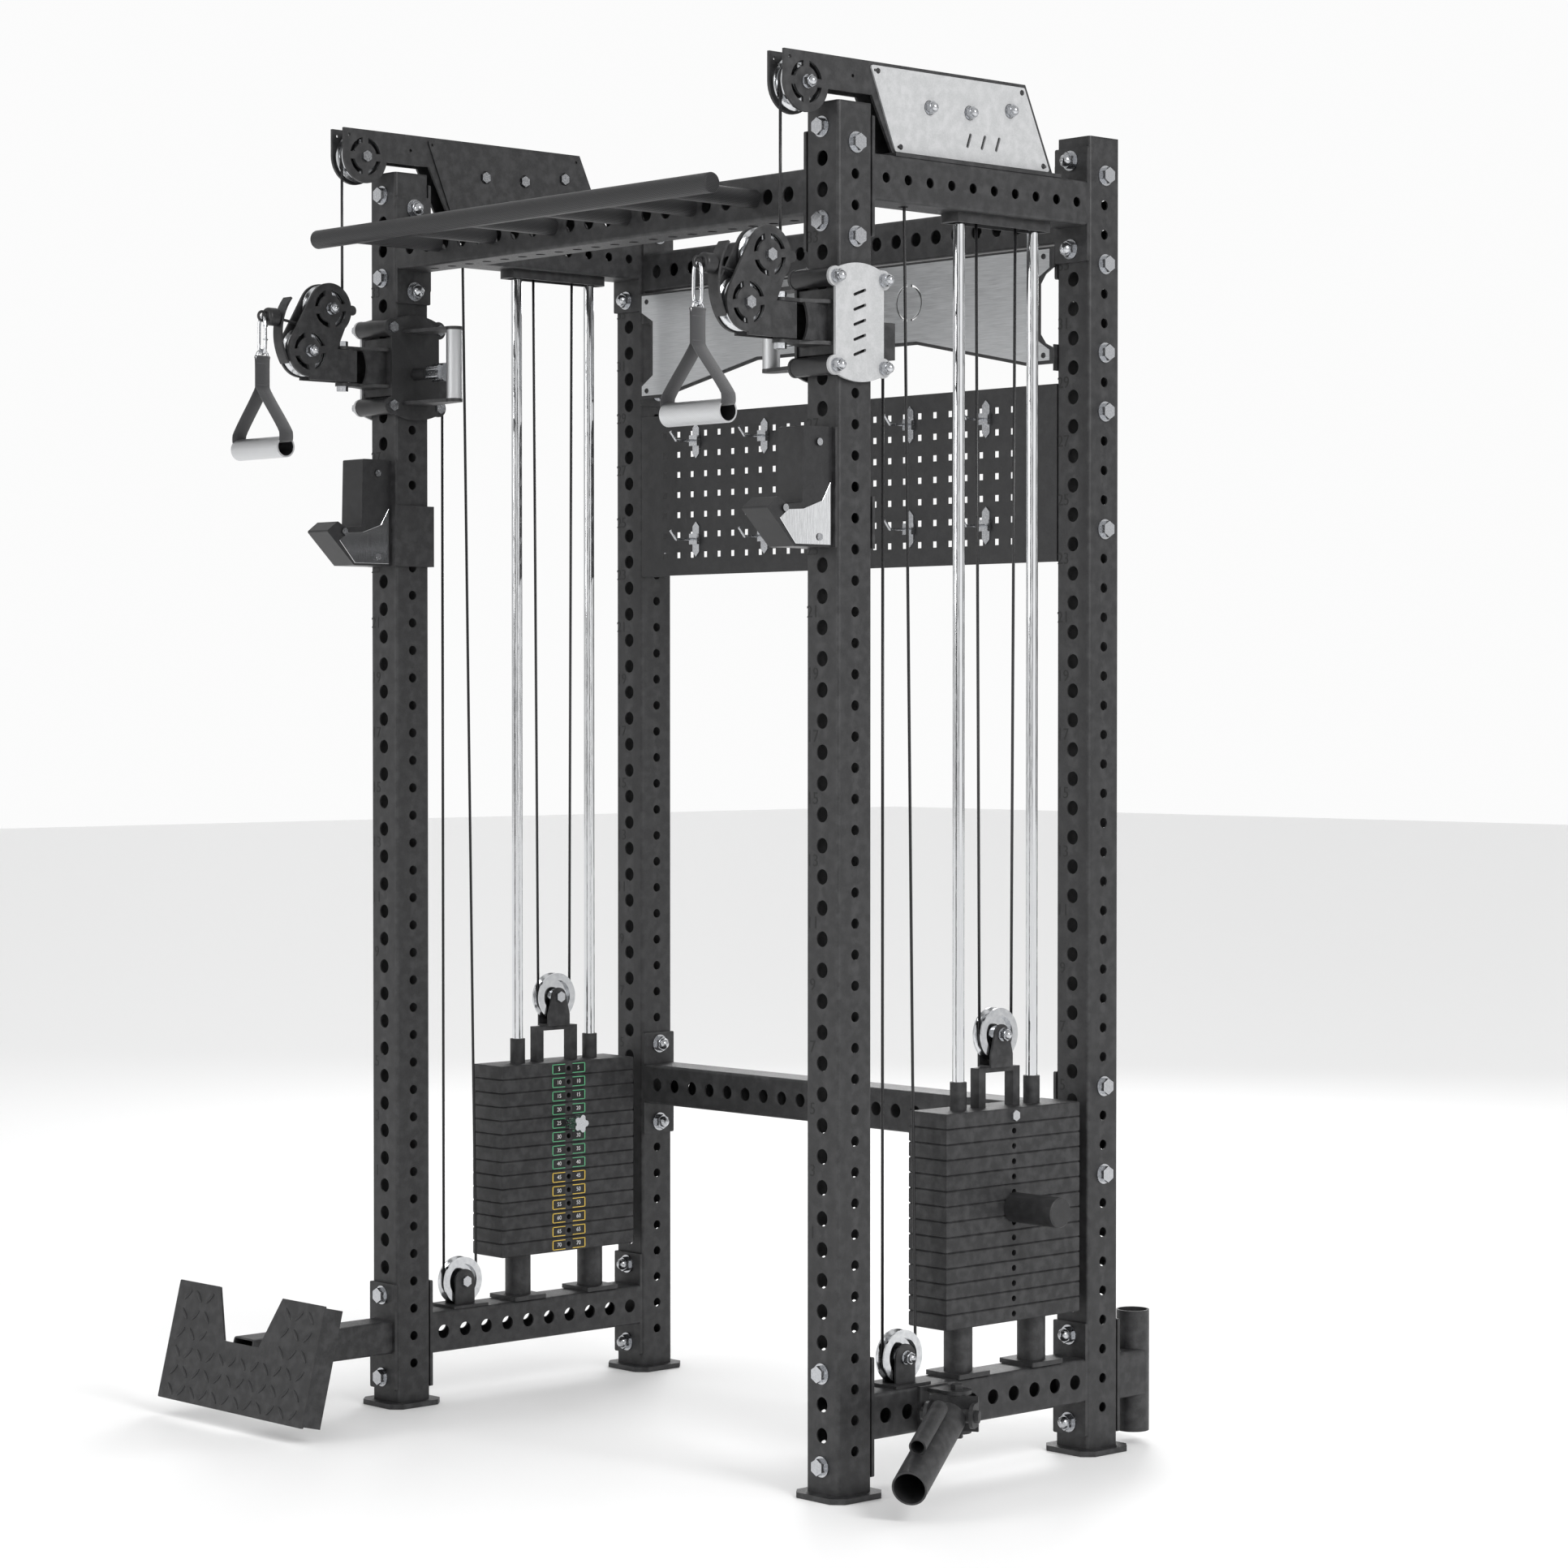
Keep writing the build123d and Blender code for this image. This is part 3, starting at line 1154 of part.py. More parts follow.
def landmine_yoke():
    half = 32 - 3 - GAP
    yoke = slab_z(Circle(17.0) - Circle(AXLE_R + RUNNING_FIT), -half, half)
    bridge = block((15.5, 21), (-41, 41), (-half, half))
    cheeks = []
    for sign in (-1, 1):
        side = sorted((sign * 35, sign * 41))
        cheek = block((15.5, PITCH_REACH), (side[0], side[1]), (-20, 20))
        cheeks.append(cheek + rod_y(20, side[0], side[1], PITCH_REACH, 0))
    yoke = yoke + bridge + cheeks[0] + cheeks[1]
    yoke = yoke - rod_y(AXLE_R + RUNNING_FIT, -50, 50, PITCH_REACH, 0)
    heads = []
    for sign in (-1, 1):
        plane = Plane(origin=(PITCH_REACH, sign * 41, 0), z_dir=(0, sign, 0))
        heads.append(hex_prism(plane, 18.0, 8.0))
    shaft = rod_y(AXLE_R, -41, 41, PITCH_REACH, 0) + heads[0] + heads[1]
    place = landmine_place()
    return [place * yoke, place * shaft]


def landmine_tubes():
    length = LANDMINE_LENGTH
    pivot = slab_y(Circle(11.0) - Circle(AXLE_R + RUNNING_FIT), -34, 34)
    sleeve = rod_x(LANDMINE_R, 12, length, 0, 0)
    sleeve = sleeve - rod_x(LANDMINE_BORE, 16, length + 1, 0, 0)
    keep_out = rod_y(11.0, -60, 60, 0, 0)
    small_z = LANDMINE_R + SMALL_TUBE_R - 1.5
    small = rod_x(SMALL_TUBE_R, 60, length - 62, 0, small_z)
    small = small - rod_x(SMALL_TUBE_R - 3, 64, length, 0, small_z)
    body = (sleeve - keep_out) + small + pivot
    bridge = block((8, 14), (-16, 16), (-11, 11)) - rod_y(AXLE_R + RUNNING_FIT, -60, 60, 0, 0)
    body = body + bridge
    tilt = Pos(PITCH_REACH, 0, 0) * Rot(0, PITCH_DEG, 0)
    return [landmine_place() * tilt * body]


# ---- assembly ----
def build():
    posts = [upright(sx, sy) for sy in (-1, 1) for sx in (-1, 1)]
    node("uprights", [shape for post in posts for shape in post])
    beams = side_beam(TOP_SIDE_Z, SIDE_HOLE_R, CABLE_DROPS) + side_beam(LOW_SIDE_Z, FACE_HOLE_R)
    node("side_beams", both_sides(beams))
    node("front_beam", cross_beam(-HALF_Y, FRONT_BEAM_Z, FACE_HOLE_R, SIDE_HOLE_R))
    node("pull_up_bar", pull_up_bar())
    node("rear_beam_top", cross_beam(HALF_Y, FRONT_BEAM_Z, FACE_HOLE_R, SIDE_HOLE_R))
    node("rear_beam_low", cross_beam(HALF_Y, LOW_REAR_Z, FACE_HOLE_R, SIDE_HOLE_R))
    bolts, nuts = frame_fasteners()
    node("frame_bolts", bolts)
    node("frame_nuts", nuts)
    node("pegboard", pegboard())
    node("pegboard_hooks", pegboard_hooks())
    panel, cover = rear_panel()
    node("rear_panel", panel)
    node("rear_panel_cover", cover)
    node("top_pulley_plates", both_sides(top_housing()))
    outer = HALF_X + TOP_PLATE_HALF_GAP + PLATE_THICK
    inner = HALF_X - TOP_PLATE_HALF_GAP - PLATE_THICK - COVER_THICK
    node("top_plate_covers", both_sides([top_cover(outer), top_cover(inner)]))
    node("top_inner_pulleys", both_sides([pulley(HALF_X, y, z) for y, z in INNER_PULLEYS]))
    half_outer = TOP_PLATE_HALF_GAP + PLATE_THICK
    axles = []
    for y, z in (FRONT_PULLEY,) + INNER_PULLEYS:
        axles += axle_set(HALF_X, y, z, half_outer, TOP_PLATE_HALF_GAP)
    low_outer = BRACKET_HALF_GAP + BRACKET_THICK
    axles += axle_set(HALF_X, LOW_PULLEY[0], LOW_PULLEY[1], low_outer, BRACKET_HALF_GAP)
    node("pulley_bolts", both_sides(axles))
    node("guide_rods", both_sides(guide_rods()))
    node("rod_top_brackets", both_sides(rod_top_bracket()))
    node("stack_supports", both_sides(stack_supports()))
    node("resting_plates", both_sides(resting_plates()))
    node("bottom_pulley_brackets", both_sides(low_bracket()))
    node("foot_plate", foot_plate())
    node("barbell_holder", barbell_holder())
    node("landmine_bracket", landmine_bracket())
    node("landmine_yoke", landmine_yoke())
    node("landmine_tubes", landmine_tubes())
    node("loading_pegs", both_sides(loading_peg()))
    node("fixed_cables", both_sides(fixed_cable()))
    sided = {
        "lifted_stack": stack_head() + lifted_plates(),
        "stack_pulley": [pulley(HALF_X, STACK_Y, STACK_PULLEY_Z)],
        "selector_pin": selector_pin(),
        "front_pulley": [pulley(HALF_X, *FRONT_PULLEY)],
        "bottom_pulley": [pulley(HALF_X, *LOW_PULLEY)],
        "carriage_frame": carriage_frame(),
        "carriage_rollers": carriage_rollers(),
        "carriage_pin": carriage_pin(),
        "swivel_head": swivel_head(),
        "swivel_pulleys": [pulley(HALF_X, *UPPER), pulley(HALF_X, *LOWER)],
        "handle_strap": handle_strap(),
        "handle_grip": handle_grip(),
        "jhook": jhook(),
        "stack_cables": stack_cable(),
        "front_cable": front_cable(),
        "low_cable": low_cable(),
    }
    for name, shapes in sided.items():
        node(name + "_right", shapes)
        node(name + "_left", [mirrored(shape) for shape in solids_of(shapes)])


def shift_to_origin():
    low = [1e9, 1e9, 1e9]
    high = [-1e9, -1e9, -1e9]
    for solids in NODES.values():
        for solid in solids:
            box = solid.bounding_box()
            low = [min(a, b) for a, b in zip(low, (box.min.X, box.min.Y, box.min.Z))]
            high = [max(a, b) for a, b in zip(high, (box.max.X, box.max.Y, box.max.Z))]
    return (-(low[0] + high[0]) / 2, -(low[1] + high[1]) / 2, -low[2])


build()
SHIFT = shift_to_origin()
os.makedirs("parts", exist_ok=True)
for name, solids in NODES.items():
    moved = [Pos(*SHIFT) * solid for solid in solids]
    export_step(Compound(children=moved), "parts/" + name + ".step")
print("nodes", len(NODES), "shift", [round(value, 3) for value in SHIFT])
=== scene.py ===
"""Looks of the functional trainer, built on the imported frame.

Every sub-assembly is a class that dresses its CAD nodes and adds the pieces that the CAD leaves plain.
"""
import logging
import math
from collections.abc import Callable, Sequence
from dataclasses import dataclass
from enum import Enum
from functools import cache

import bmesh
import bpy
from mathutils import Matrix, Vector


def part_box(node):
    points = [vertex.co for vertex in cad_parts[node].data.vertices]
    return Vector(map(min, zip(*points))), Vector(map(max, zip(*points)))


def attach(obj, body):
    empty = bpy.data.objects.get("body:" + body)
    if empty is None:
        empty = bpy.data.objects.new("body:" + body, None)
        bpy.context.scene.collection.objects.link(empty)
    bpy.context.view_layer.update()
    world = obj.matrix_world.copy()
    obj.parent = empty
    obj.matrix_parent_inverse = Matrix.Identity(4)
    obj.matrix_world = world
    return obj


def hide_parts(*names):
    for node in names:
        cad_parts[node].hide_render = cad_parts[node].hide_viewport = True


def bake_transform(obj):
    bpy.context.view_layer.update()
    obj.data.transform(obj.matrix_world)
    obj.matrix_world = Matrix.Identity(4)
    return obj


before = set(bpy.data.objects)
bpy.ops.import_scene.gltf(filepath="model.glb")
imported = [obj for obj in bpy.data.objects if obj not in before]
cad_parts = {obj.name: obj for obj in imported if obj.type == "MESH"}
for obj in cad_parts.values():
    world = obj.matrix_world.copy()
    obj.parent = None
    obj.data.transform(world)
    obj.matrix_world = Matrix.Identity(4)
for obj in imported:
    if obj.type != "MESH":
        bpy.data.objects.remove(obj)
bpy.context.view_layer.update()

LOG = logging.getLogger("trainer")
ROOT_BODY = "rack"
MM = 0.001
ROUND_STEPS = 16
SCREW_STEPS = 24
FACE_FORWARD = Matrix.Rotation(math.pi / 2, 4, "X")
Colour = tuple[float, float, float]
NodeTree = bpy.types.NodeTree
Socket = bpy.types.NodeSocket
Material = bpy.types.Material
BMesh = bmesh.types.BMesh


class Side(Enum):
    """The two mirrored sides of the machine."""

    RIGHT = 1
    LEFT = -1

    def of(self, name: str) -> str:
        """Name of this side's node or body."""
        return f"{name}_{self.name.lower()}"


def middle(node: str) -> Vector:
    """Middle of a CAD node's box."""
    low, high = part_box(node)
    return (low + high) / 2


# ---- shared shader groups ----
def new_group(name: str, inputs: dict[str, float], outputs: dict[str, str]) -> tuple:
    """Starts a shader node group.

    Args:
        name: The group's name.
        inputs: Float inputs with their defaults.
        outputs: Output names with their socket types.

    Returns:
        The group, its input node and its output node.
    """
    group = bpy.data.node_groups.new(name, "ShaderNodeTree")
    for label, value in inputs.items():
        socket = group.interface.new_socket(name=label, in_out="INPUT", socket_type="NodeSocketFloat")
        socket.default_value = value
    for label, kind in outputs.items():
        group.interface.new_socket(name=label, in_out="OUTPUT", socket_type=kind)
    return group, group.nodes.new("NodeGroupInput"), group.nodes.new("NodeGroupOutput")


def noise_node(tree: NodeTree, vector: Socket, detail: float) -> bpy.types.Node:
    """Adds a noise texture that reads a vector."""
    noise = tree.nodes.new("ShaderNodeTexNoise")
    noise.inputs["Detail"].default_value = detail
    tree.links.new(vector, noise.inputs["Vector"])
    return noise


def ramp(tree: NodeTree, value: Socket, low: float, high: float) -> Socket:
    """Spreads a value so that low becomes 0 and high becomes 1."""
    spread = tree.nodes.new("ShaderNodeMapRange")
    spread.inputs["From Min"].default_value = low
    spread.inputs["From Max"].default_value = high
    tree.links.new(value, spread.inputs["Value"])
    return spread.outputs["Result"]


def combine(tree: NodeTree, operation: str, first: Socket, second: Socket) -> Socket:
    """Joins two values with a math node."""
    node = tree.nodes.new("ShaderNodeMath")
    node.operation = operation
    tree.links.new(first, node.inputs[0])
    tree.links.new(second, node.inputs[1])
    return node.outputs[0]


@cache
def grain_group() -> NodeTree:
    """Fine coat texture: a height, and a slow patchiness for colour and gloss."""
    outputs = {"Height": "NodeSocketFloat", "Patch": "NodeSocketFloat"}
    group, start, end = new_group("coat_grain", {"Scale": 900.0, "Patch Scale": 420.0}, outputs)
    place = group.nodes.new("ShaderNodeTexCoord").outputs["Object"]
    fine = noise_node(group, place, 3.0)
    group.links.new(start.outputs["Scale"], fine.inputs["Scale"])
    wide = noise_node(group, place, 4.0)
    group.links.new(start.outputs["Patch Scale"], wide.inputs["Scale"])
    group.links.new(fine.outputs["Fac"], end.inputs["Height"])
    group.links.new(ramp(group, wide.outputs["Fac"], 0.3, 0.7), end.inputs["Patch"])
    return group


@cache
def wear_group() -> NodeTree:
    """Mask of rubbed edges, broken up by noise."""
    group, start, end = new_group("edge_wear", {"Amount": 0.5, "Scale": 60.0}, {"Mask": "NodeSocketFloat"})
    place = group.nodes.new("ShaderNodeTexCoord").outputs["Object"]
    edge = ramp(group, group.nodes.new("ShaderNodeNewGeometry").outputs["Pointiness"], 0.52, 0.62)
    breakup = noise_node(group, place, 5.0)
    group.links.new(start.outputs["Scale"], breakup.inputs["Scale"])
    rough = ramp(group, breakup.outputs["Fac"], 0.42, 0.65)
    both = combine(group, "MULTIPLY", edge, rough)
    group.links.new(combine(group, "MULTIPLY", both, start.outputs["Amount"]), end.inputs["Mask"])
    return group


@cache
def brushed_group() -> NodeTree:
    """Fine brush lines, stretched along the object's own axes."""
    inputs = {"Along X": 40.0, "Along Y": 900.0, "Along Z": 900.0}
    group, start, end = new_group("brush_lines", inputs, {"Line": "NodeSocketFloat"})
    place = group.nodes.new("ShaderNodeTexCoord").outputs["Object"]
    stretch = group.nodes.new("ShaderNodeCombineXYZ")
    for axis in "XYZ":
        group.links.new(start.outputs[f"Along {axis}"], stretch.inputs[axis])
    scaled = group.nodes.new("ShaderNodeVectorMath")
    scaled.operation = "MULTIPLY"
    group.links.new(place, scaled.inputs[0])
    group.links.new(stretch.outputs[0], scaled.inputs[1])
    lines = noise_node(group, scaled.outputs[0], 2.0)
    lines.inputs["Scale"].default_value = 1.0
    group.links.new(ramp(group, lines.outputs["Fac"], 0.3, 0.7), end.inputs["Line"])
    return group


@cache
def cross_group() -> NodeTree:
    """Crossed ridges: knurling on metal and weave on webbing."""
    group, start, end = new_group("crossed_ridges", {"Scale": 300.0}, {"Height": "NodeSocketFloat"})
    place = group.nodes.new("ShaderNodeTexCoord").outputs["Object"]
    waves = []
    for axis, distortion in (("DIAGONAL", 0.0), ("Z", 0.6)):
        wave = group.nodes.new("ShaderNodeTexWave")
        wave.bands_direction = axis
        wave.inputs["Distortion"].default_value = distortion
        group.links.new(place, wave.inputs["Vector"])
        group.links.new(start.outputs["Scale"], wave.inputs["Scale"])
        waves.append(wave.outputs["Fac"])
    group.links.new(combine(group, "MULTIPLY", *waves), end.inputs["Height"])
    return group


# ---- finishes ----
def blend_colours(tree: NodeTree, factor: Socket, first: Colour | Socket, second: Colour) -> Socket:
    """Mixes two colours.

    Args:
        tree: The node tree that gets the mix.
        factor: 0 for the first colour and 1 for the second.
        first: A fixed colour, or the socket that gives it.
        second: A fixed colour.

    Returns:
        The result's socket.
    """
    mix = tree.nodes.new("ShaderNodeMix")
    mix.data_type = "RGBA"
    if isinstance(first, Socket):
        tree.links.new(first, mix.inputs["A"])
    else:
        mix.inputs["A"].default_value = (*first, 1.0)
    mix.inputs["B"].default_value = (*second, 1.0)
    tree.links.new(factor, mix.inputs["Factor"])
    return mix.outputs["Result"]


def set_gloss(tree: NodeTree, value: Socket, shader: bpy.types.Node, roughness: tuple[float, float]) -> None:
    """Varies the shader's roughness between two values."""
    gloss = tree.nodes.new("ShaderNodeMapRange")
    gloss.inputs["To Min"].default_value, gloss.inputs["To Max"].default_value = roughness
    tree.links.new(value, gloss.inputs["Value"])
    tree.links.new(gloss.outputs["Result"], shader.inputs["Roughness"])


def place_group(tree: NodeTree, group: NodeTree, **values: float) -> bpy.types.Node:
    """Places a shader group in a material with its own values."""
    node = tree.nodes.new("ShaderNodeGroup")
    node.node_tree = group
    for label, value in values.items():
        node.inputs[label.replace("_", " ")].default_value = value
    return node


def add_bump(tree: NodeTree, height: Socket, shader: bpy.types.Node, depth: float) -> None:
    """Feeds a height to the shader's normal."""
    bump = tree.nodes.new("ShaderNodeBump")
    bump.inputs["Strength"].default_value = 1.0
    bump.inputs["Distance"].default_value = depth
    tree.links.new(height, bump.inputs["Height"])
    tree.links.new(bump.outputs["Normal"], shader.inputs["Normal"])


def blank(name: str) -> tuple[Material, NodeTree, bpy.types.Node]:
    """New material with its node tree and its shader."""
    material = bpy.data.materials.new(name)
    material.use_nodes = True
    tree = material.node_tree
    return material, tree, tree.nodes["Principled BSDF"]


@dataclass(frozen=True)
class Finish:
    """A finish whose colour varies between two shades.

    Attributes:
        name: The material's name.
        dark: Its darker shade.
        light: Its lighter shade.
    """

    name: str
    dark: Colour
    light: Colour


@dataclass(frozen=True)
class CoatedSteel(Finish):
    """Powder coat or paint on steel: fine grain, patchy gloss, rubbed edges.

    Attributes:
        worn: Colour of rubbed edges.
        roughness: Roughness in smooth and rough patches.
        grain: Scale of the coat's grain.
        depth: Height of the grain in metres.
        wear: Strength of the edge wear.
    """

    worn: Colour = (0.07, 0.07, 0.072)
    roughness: tuple[float, float] = (0.4, 0.54)
    grain: float = 1100.0
    depth: float = 0.0003
    wear: float = 0.35

    def build(self) -> Material:
        """Makes the material."""
        material, tree, shader = blank(self.name)
        coat = place_group(tree, grain_group(), Scale=self.grain)
        rub = place_group(tree, wear_group(), Amount=self.wear)
        base = blend_colours(tree, coat.outputs["Patch"], self.dark, self.light)
        worn = blend_colours(tree, rub.outputs["Mask"], base, self.worn)
        tree.links.new(worn, shader.inputs["Base Color"])
        set_gloss(tree, coat.outputs["Patch"], shader, self.roughness)
        add_bump(tree, coat.outputs["Height"], shader, self.depth)
        return material


@dataclass(frozen=True)
class BrightMetal(Finish):
    """Chrome, zinc or aluminium with fine brush lines.

    Attributes:
        roughness: Roughness on and off the lines.
        lines: Line density along X, Y and Z.
        depth: Height of the lines in metres.
    """

    roughness: tuple[float, float] = (0.08, 0.2)
    lines: tuple[float, float, float] = (300.0, 300.0, 300.0)
    depth: float = 0.00002

    def build(self) -> Material:
        """Makes the material."""
        material, tree, shader = blank(self.name)
        shader.inputs["Metallic"].default_value = 1.0
        along = dict(zip(("Along_X", "Along_Y", "Along_Z"), self.lines))
        brush = place_group(tree, brushed_group(), **along)
        colour = blend_colours(tree, brush.outputs["Line"], self.dark, self.light)
        tree.links.new(colour, shader.inputs["Base Color"])
        set_gloss(tree, brush.outputs["Line"], shader, self.roughness)
        add_bump(tree, brush.outputs["Line"], shader, self.depth)
        return material


@dataclass(frozen=True)
class Ridged(Finish):
    """Knurled metal or woven webbing: crossed ridges, with painted shade that darkens the hollows.

    Attributes:
        metallic: 1 for metal, 0 for cloth.
        roughness: Surface roughness.
        scale: Density of the ridges.
        depth: Height of the ridges in metres.
        sheen: Cloth sheen.
    """

    metallic: float = 0.0
    roughness: float = 0.6
    scale: float = 260.0
    depth: float = 0.0003
    sheen: float = 0.0

    def build(self) -> Material:
        """Makes the material."""
        material, tree, shader = blank(self.name)
        shader.inputs["Metallic"].default_value = self.metallic
        shader.inputs["Roughness"].default_value = self.roughness
        shader.inputs["Sheen Weight"].default_value = self.sheen
        ridges = place_group(tree, cross_group(), Scale=self.scale)
        # Painted shade: the ridges' height puts the dark colour in the hollows and the light colour on the tops.
        colour = blend_colours(tree, ridges.outputs["Height"], self.dark, self.light)
        tree.links.new(colour, shader.inputs["Base Color"])
        add_bump(tree, ridges.outputs["Height"], shader, self.depth)
        return material


class Finishes:
    """Every material of the machine, built once."""

    def __init__(self) -> None:
        """Builds the materials."""
        self.coat = CoatedSteel("black_powder_coat", (0.011, 0.011, 0.012), (0.024, 0.024, 0.025)).build()
        self.iron = CoatedSteel(
            "coated_iron", (0.009, 0.009, 0.01), (0.018, 0.018, 0.019), roughness=(0.46, 0.6), depth=0.0005
        ).build()
        self.plastic = CoatedSteel(
            "moulded_plastic", (0.01, 0.01, 0.011), (0.018, 0.018, 0.019),
            roughness=(0.34, 0.46), depth=0.0001, wear=0.1
        ).build()
        self.silver = CoatedSteel(
            "silver_paint", (0.36, 0.365, 0.37), (0.42, 0.425, 0.43), (0.55, 0.55, 0.56), (0.34, 0.46), depth=0.0001
        ).build()
        self.sheath = CoatedSteel(
            "cable_sheath", (0.008, 0.008, 0.009), (0.014, 0.014, 0.015),
            roughness=(0.25, 0.35), depth=0.00005, wear=0.0
        ).build()
        self.chrome = BrightMetal(
            "rod_chrome", (0.78, 0.79, 0.81), (0.88, 0.89, 0.9), (0.04, 0.09), (900.0, 900.0, 25.0)
        ).build()
        self.zinc = BrightMetal("bright_zinc", (0.46, 0.47, 0.49), (0.6, 0.61, 0.63), (0.16, 0.28)).build()
        self.polish = BrightMetal("polished_steel", (0.6, 0.61, 0.63), (0.74, 0.75, 0.77), (0.06, 0.12)).build()
        self.panel = BrightMetal(
            "brushed_panel", (0.5, 0.51, 0.52), (0.64, 0.65, 0.66), (0.3, 0.42), (30.0, 700.0, 1200.0)
        ).build()
        self.wheel = BrightMetal(
            "wheel_aluminium", (0.5, 0.51, 0.53), (0.66, 0.67, 0.68), (0.1, 0.2), (1200.0, 120.0, 120.0)
        ).build()
        # The dark colours of the Ridged finishes below are painted shade in their hollows.
        self.knurl = Ridged(
            "knurled_aluminium", (0.55, 0.56, 0.57), (0.86, 0.86, 0.87), metallic=1.0, roughness=0.34, scale=230.0
        ).build()
        self.webbing = Ridged(
            "webbing", (0.02, 0.02, 0.022), (0.085, 0.085, 0.09), roughness=0.8, scale=330.0, sheen=0.4
        ).build()
        self.bar = Ridged(
            "knurled_black", (0.008, 0.008, 0.009), (0.05, 0.05, 0.052), roughness=0.4, scale=190.0, depth=0.0006
        ).build()
        self.thread = CoatedSteel(
            "thread", (0.09, 0.09, 0.095), (0.13, 0.13, 0.135), depth=0.0001, wear=0.0
        ).build()
        self.ink = self.print_ink("mark_ink", (0.003, 0.003, 0.003), (0.006, 0.006, 0.006))
        self.white = self.print_ink("label_white", (0.6, 0.6, 0.6), (0.72, 0.72, 0.72))
        self.green = self.print_ink("label_green", (0.1, 0.42, 0.2), (0.13, 0.5, 0.25))
        self.yellow = self.print_ink("label_yellow", (0.75, 0.5, 0.06), (0.85, 0.6, 0.09))

    @staticmethod
    def print_ink(name: str, dark: Colour, light: Colour) -> Material:
        """Makes a thin, unworn ink."""
        return CoatedSteel(name, dark, light, depth=0.00001, wear=0.0).build()


# ---- shared mesh code ----
def dress(node: str, materials: Sequence[Material], choose: Callable[[Vector], int] | None = None) -> None:
    """Gives a CAD node its materials.

    Args:
        node: The CAD node's name.
        materials: The materials that it shows.
        choose: Picks a material's index from the middle of a face. Without it the first is used.
    """
    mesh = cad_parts[node].data
    mesh.materials.clear()
    for material in materials:
        mesh.materials.append(material)
    for face in mesh.polygons:
        face.material_index = choose(face.center) if choose else 0
    LOG.info("dressed %s with %d finishes", node, len(materials))


def finish_piece(
    name: str,
    mesh: BMesh,
    material: Material,
    body: str | None,
    bevel: float = 0.0,
    smooth: bool = True,
) -> bpy.types.Object:
    """Turns a bmesh into a piece that rides on a body.

    Args:
        name: The piece's name.
        mesh: Its shape in the row frame. It is freed.
        material: Its material.
        body: The body that it moves with, or None for a piece that rides on no body.
        bevel: Width of its rounded edges in metres, or 0 for none.
        smooth: True for smooth shading.

    Returns:
        The new object.
    """
    data = bpy.data.meshes.new(name)
    bmesh.ops.recalc_face_normals(mesh, faces=mesh.faces)
    mesh.to_mesh(data)
    mesh.free()
    data.materials.append(material)
    for face in data.polygons:
        face.use_smooth = smooth
    piece = bpy.data.objects.new(name, data)
    bpy.context.scene.collection.objects.link(piece)
    if bevel > 0:
        rounding = piece.modifiers.new("rounding", "BEVEL")
        rounding.width = bevel
        rounding.segments = 2
        rounding.harden_normals = False
    if body is not None:
        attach(piece, body)
    LOG.info("built %s", name)
    return piece


def rounded_path(points: Sequence[Vector], passes: int = 3, closed: bool = False) -> list[Vector]:
    """Rounds a path's corners by cutting them off a few times."""
    path = list(points)
    for _ in range(passes):
        cut = []
        count = len(path)
        for index in range(count if closed else count - 1):
            here, there = path[index], path[(index + 1) % count]
            cut.append(here.lerp(there, 0.25))
            cut.append(here.lerp(there, 0.75))
        path = cut if closed else [path[0], *cut, path[-1]]
    return path


def join_rings(mesh: BMesh, lower: Sequence, upper: Sequence) -> None:
    """Closes the band between two rings that have the same number of vertices."""
    count = len(lower)
    for step in range(count):
        nearby = (step + 1) % count
        mesh.faces.new((lower[step], lower[nearby], upper[nearby], upper[step]))


def sweep_ring(
    mesh: BMesh,
    path: Sequence[Vector],
    section: Callable[[int, Vector], list[Vector]],
    closed: bool = False,
) -> None:
    """Sweeps a section along a path.

    Args:
        mesh: The mesh that gets the new faces.
        path: The points that the section follows.
        section: Gives the section's points for a path index and direction.
        closed: True when the path's end meets its start.
    """
    rings = []
    count = len(path)
    for index, point in enumerate(path):
        before = path[index - 1] if index > 0 or closed else point
        after = path[(index + 1) % count] if index < count - 1 or closed else point
        rings.append([mesh.verts.new(point + offset) for offset in section(index, (after - before).normalized())])
    for index in range(count if closed else count - 1):
        join_rings(mesh, rings[index], rings[(index + 1) % count])
    if not closed:
        mesh.faces.new(rings[0])
        mesh.faces.new(list(reversed(rings[-1])))


def wire(mesh: BMesh, path: Sequence[Vector], radius: float, side: Vector, closed: bool = False) -> None:
    """Sweeps a round wire along a flat path whose plane has the normal side."""

    def section(_: int, along: Vector) -> list[Vector]:
        out = side.cross(along).normalized()
        turns = [2 * math.pi * step / ROUND_STEPS for step in range(ROUND_STEPS)]
        return [side * (radius * math.cos(turn)) + out * (radius * math.sin(turn)) for turn in turns]

    sweep_ring(mesh, path, section, closed)


def block(mesh: BMesh, low: Vector, high: Vector) -> None:
    """Adds a box between two corners."""
    made = bmesh.ops.create_cube(mesh, size=1.0)
    place = Matrix.Translation((low + high) / 2) @ Matrix.Diagonal((*(high - low), 1.0))
    bmesh.ops.transform(mesh, matrix=place, verts=made["verts"])


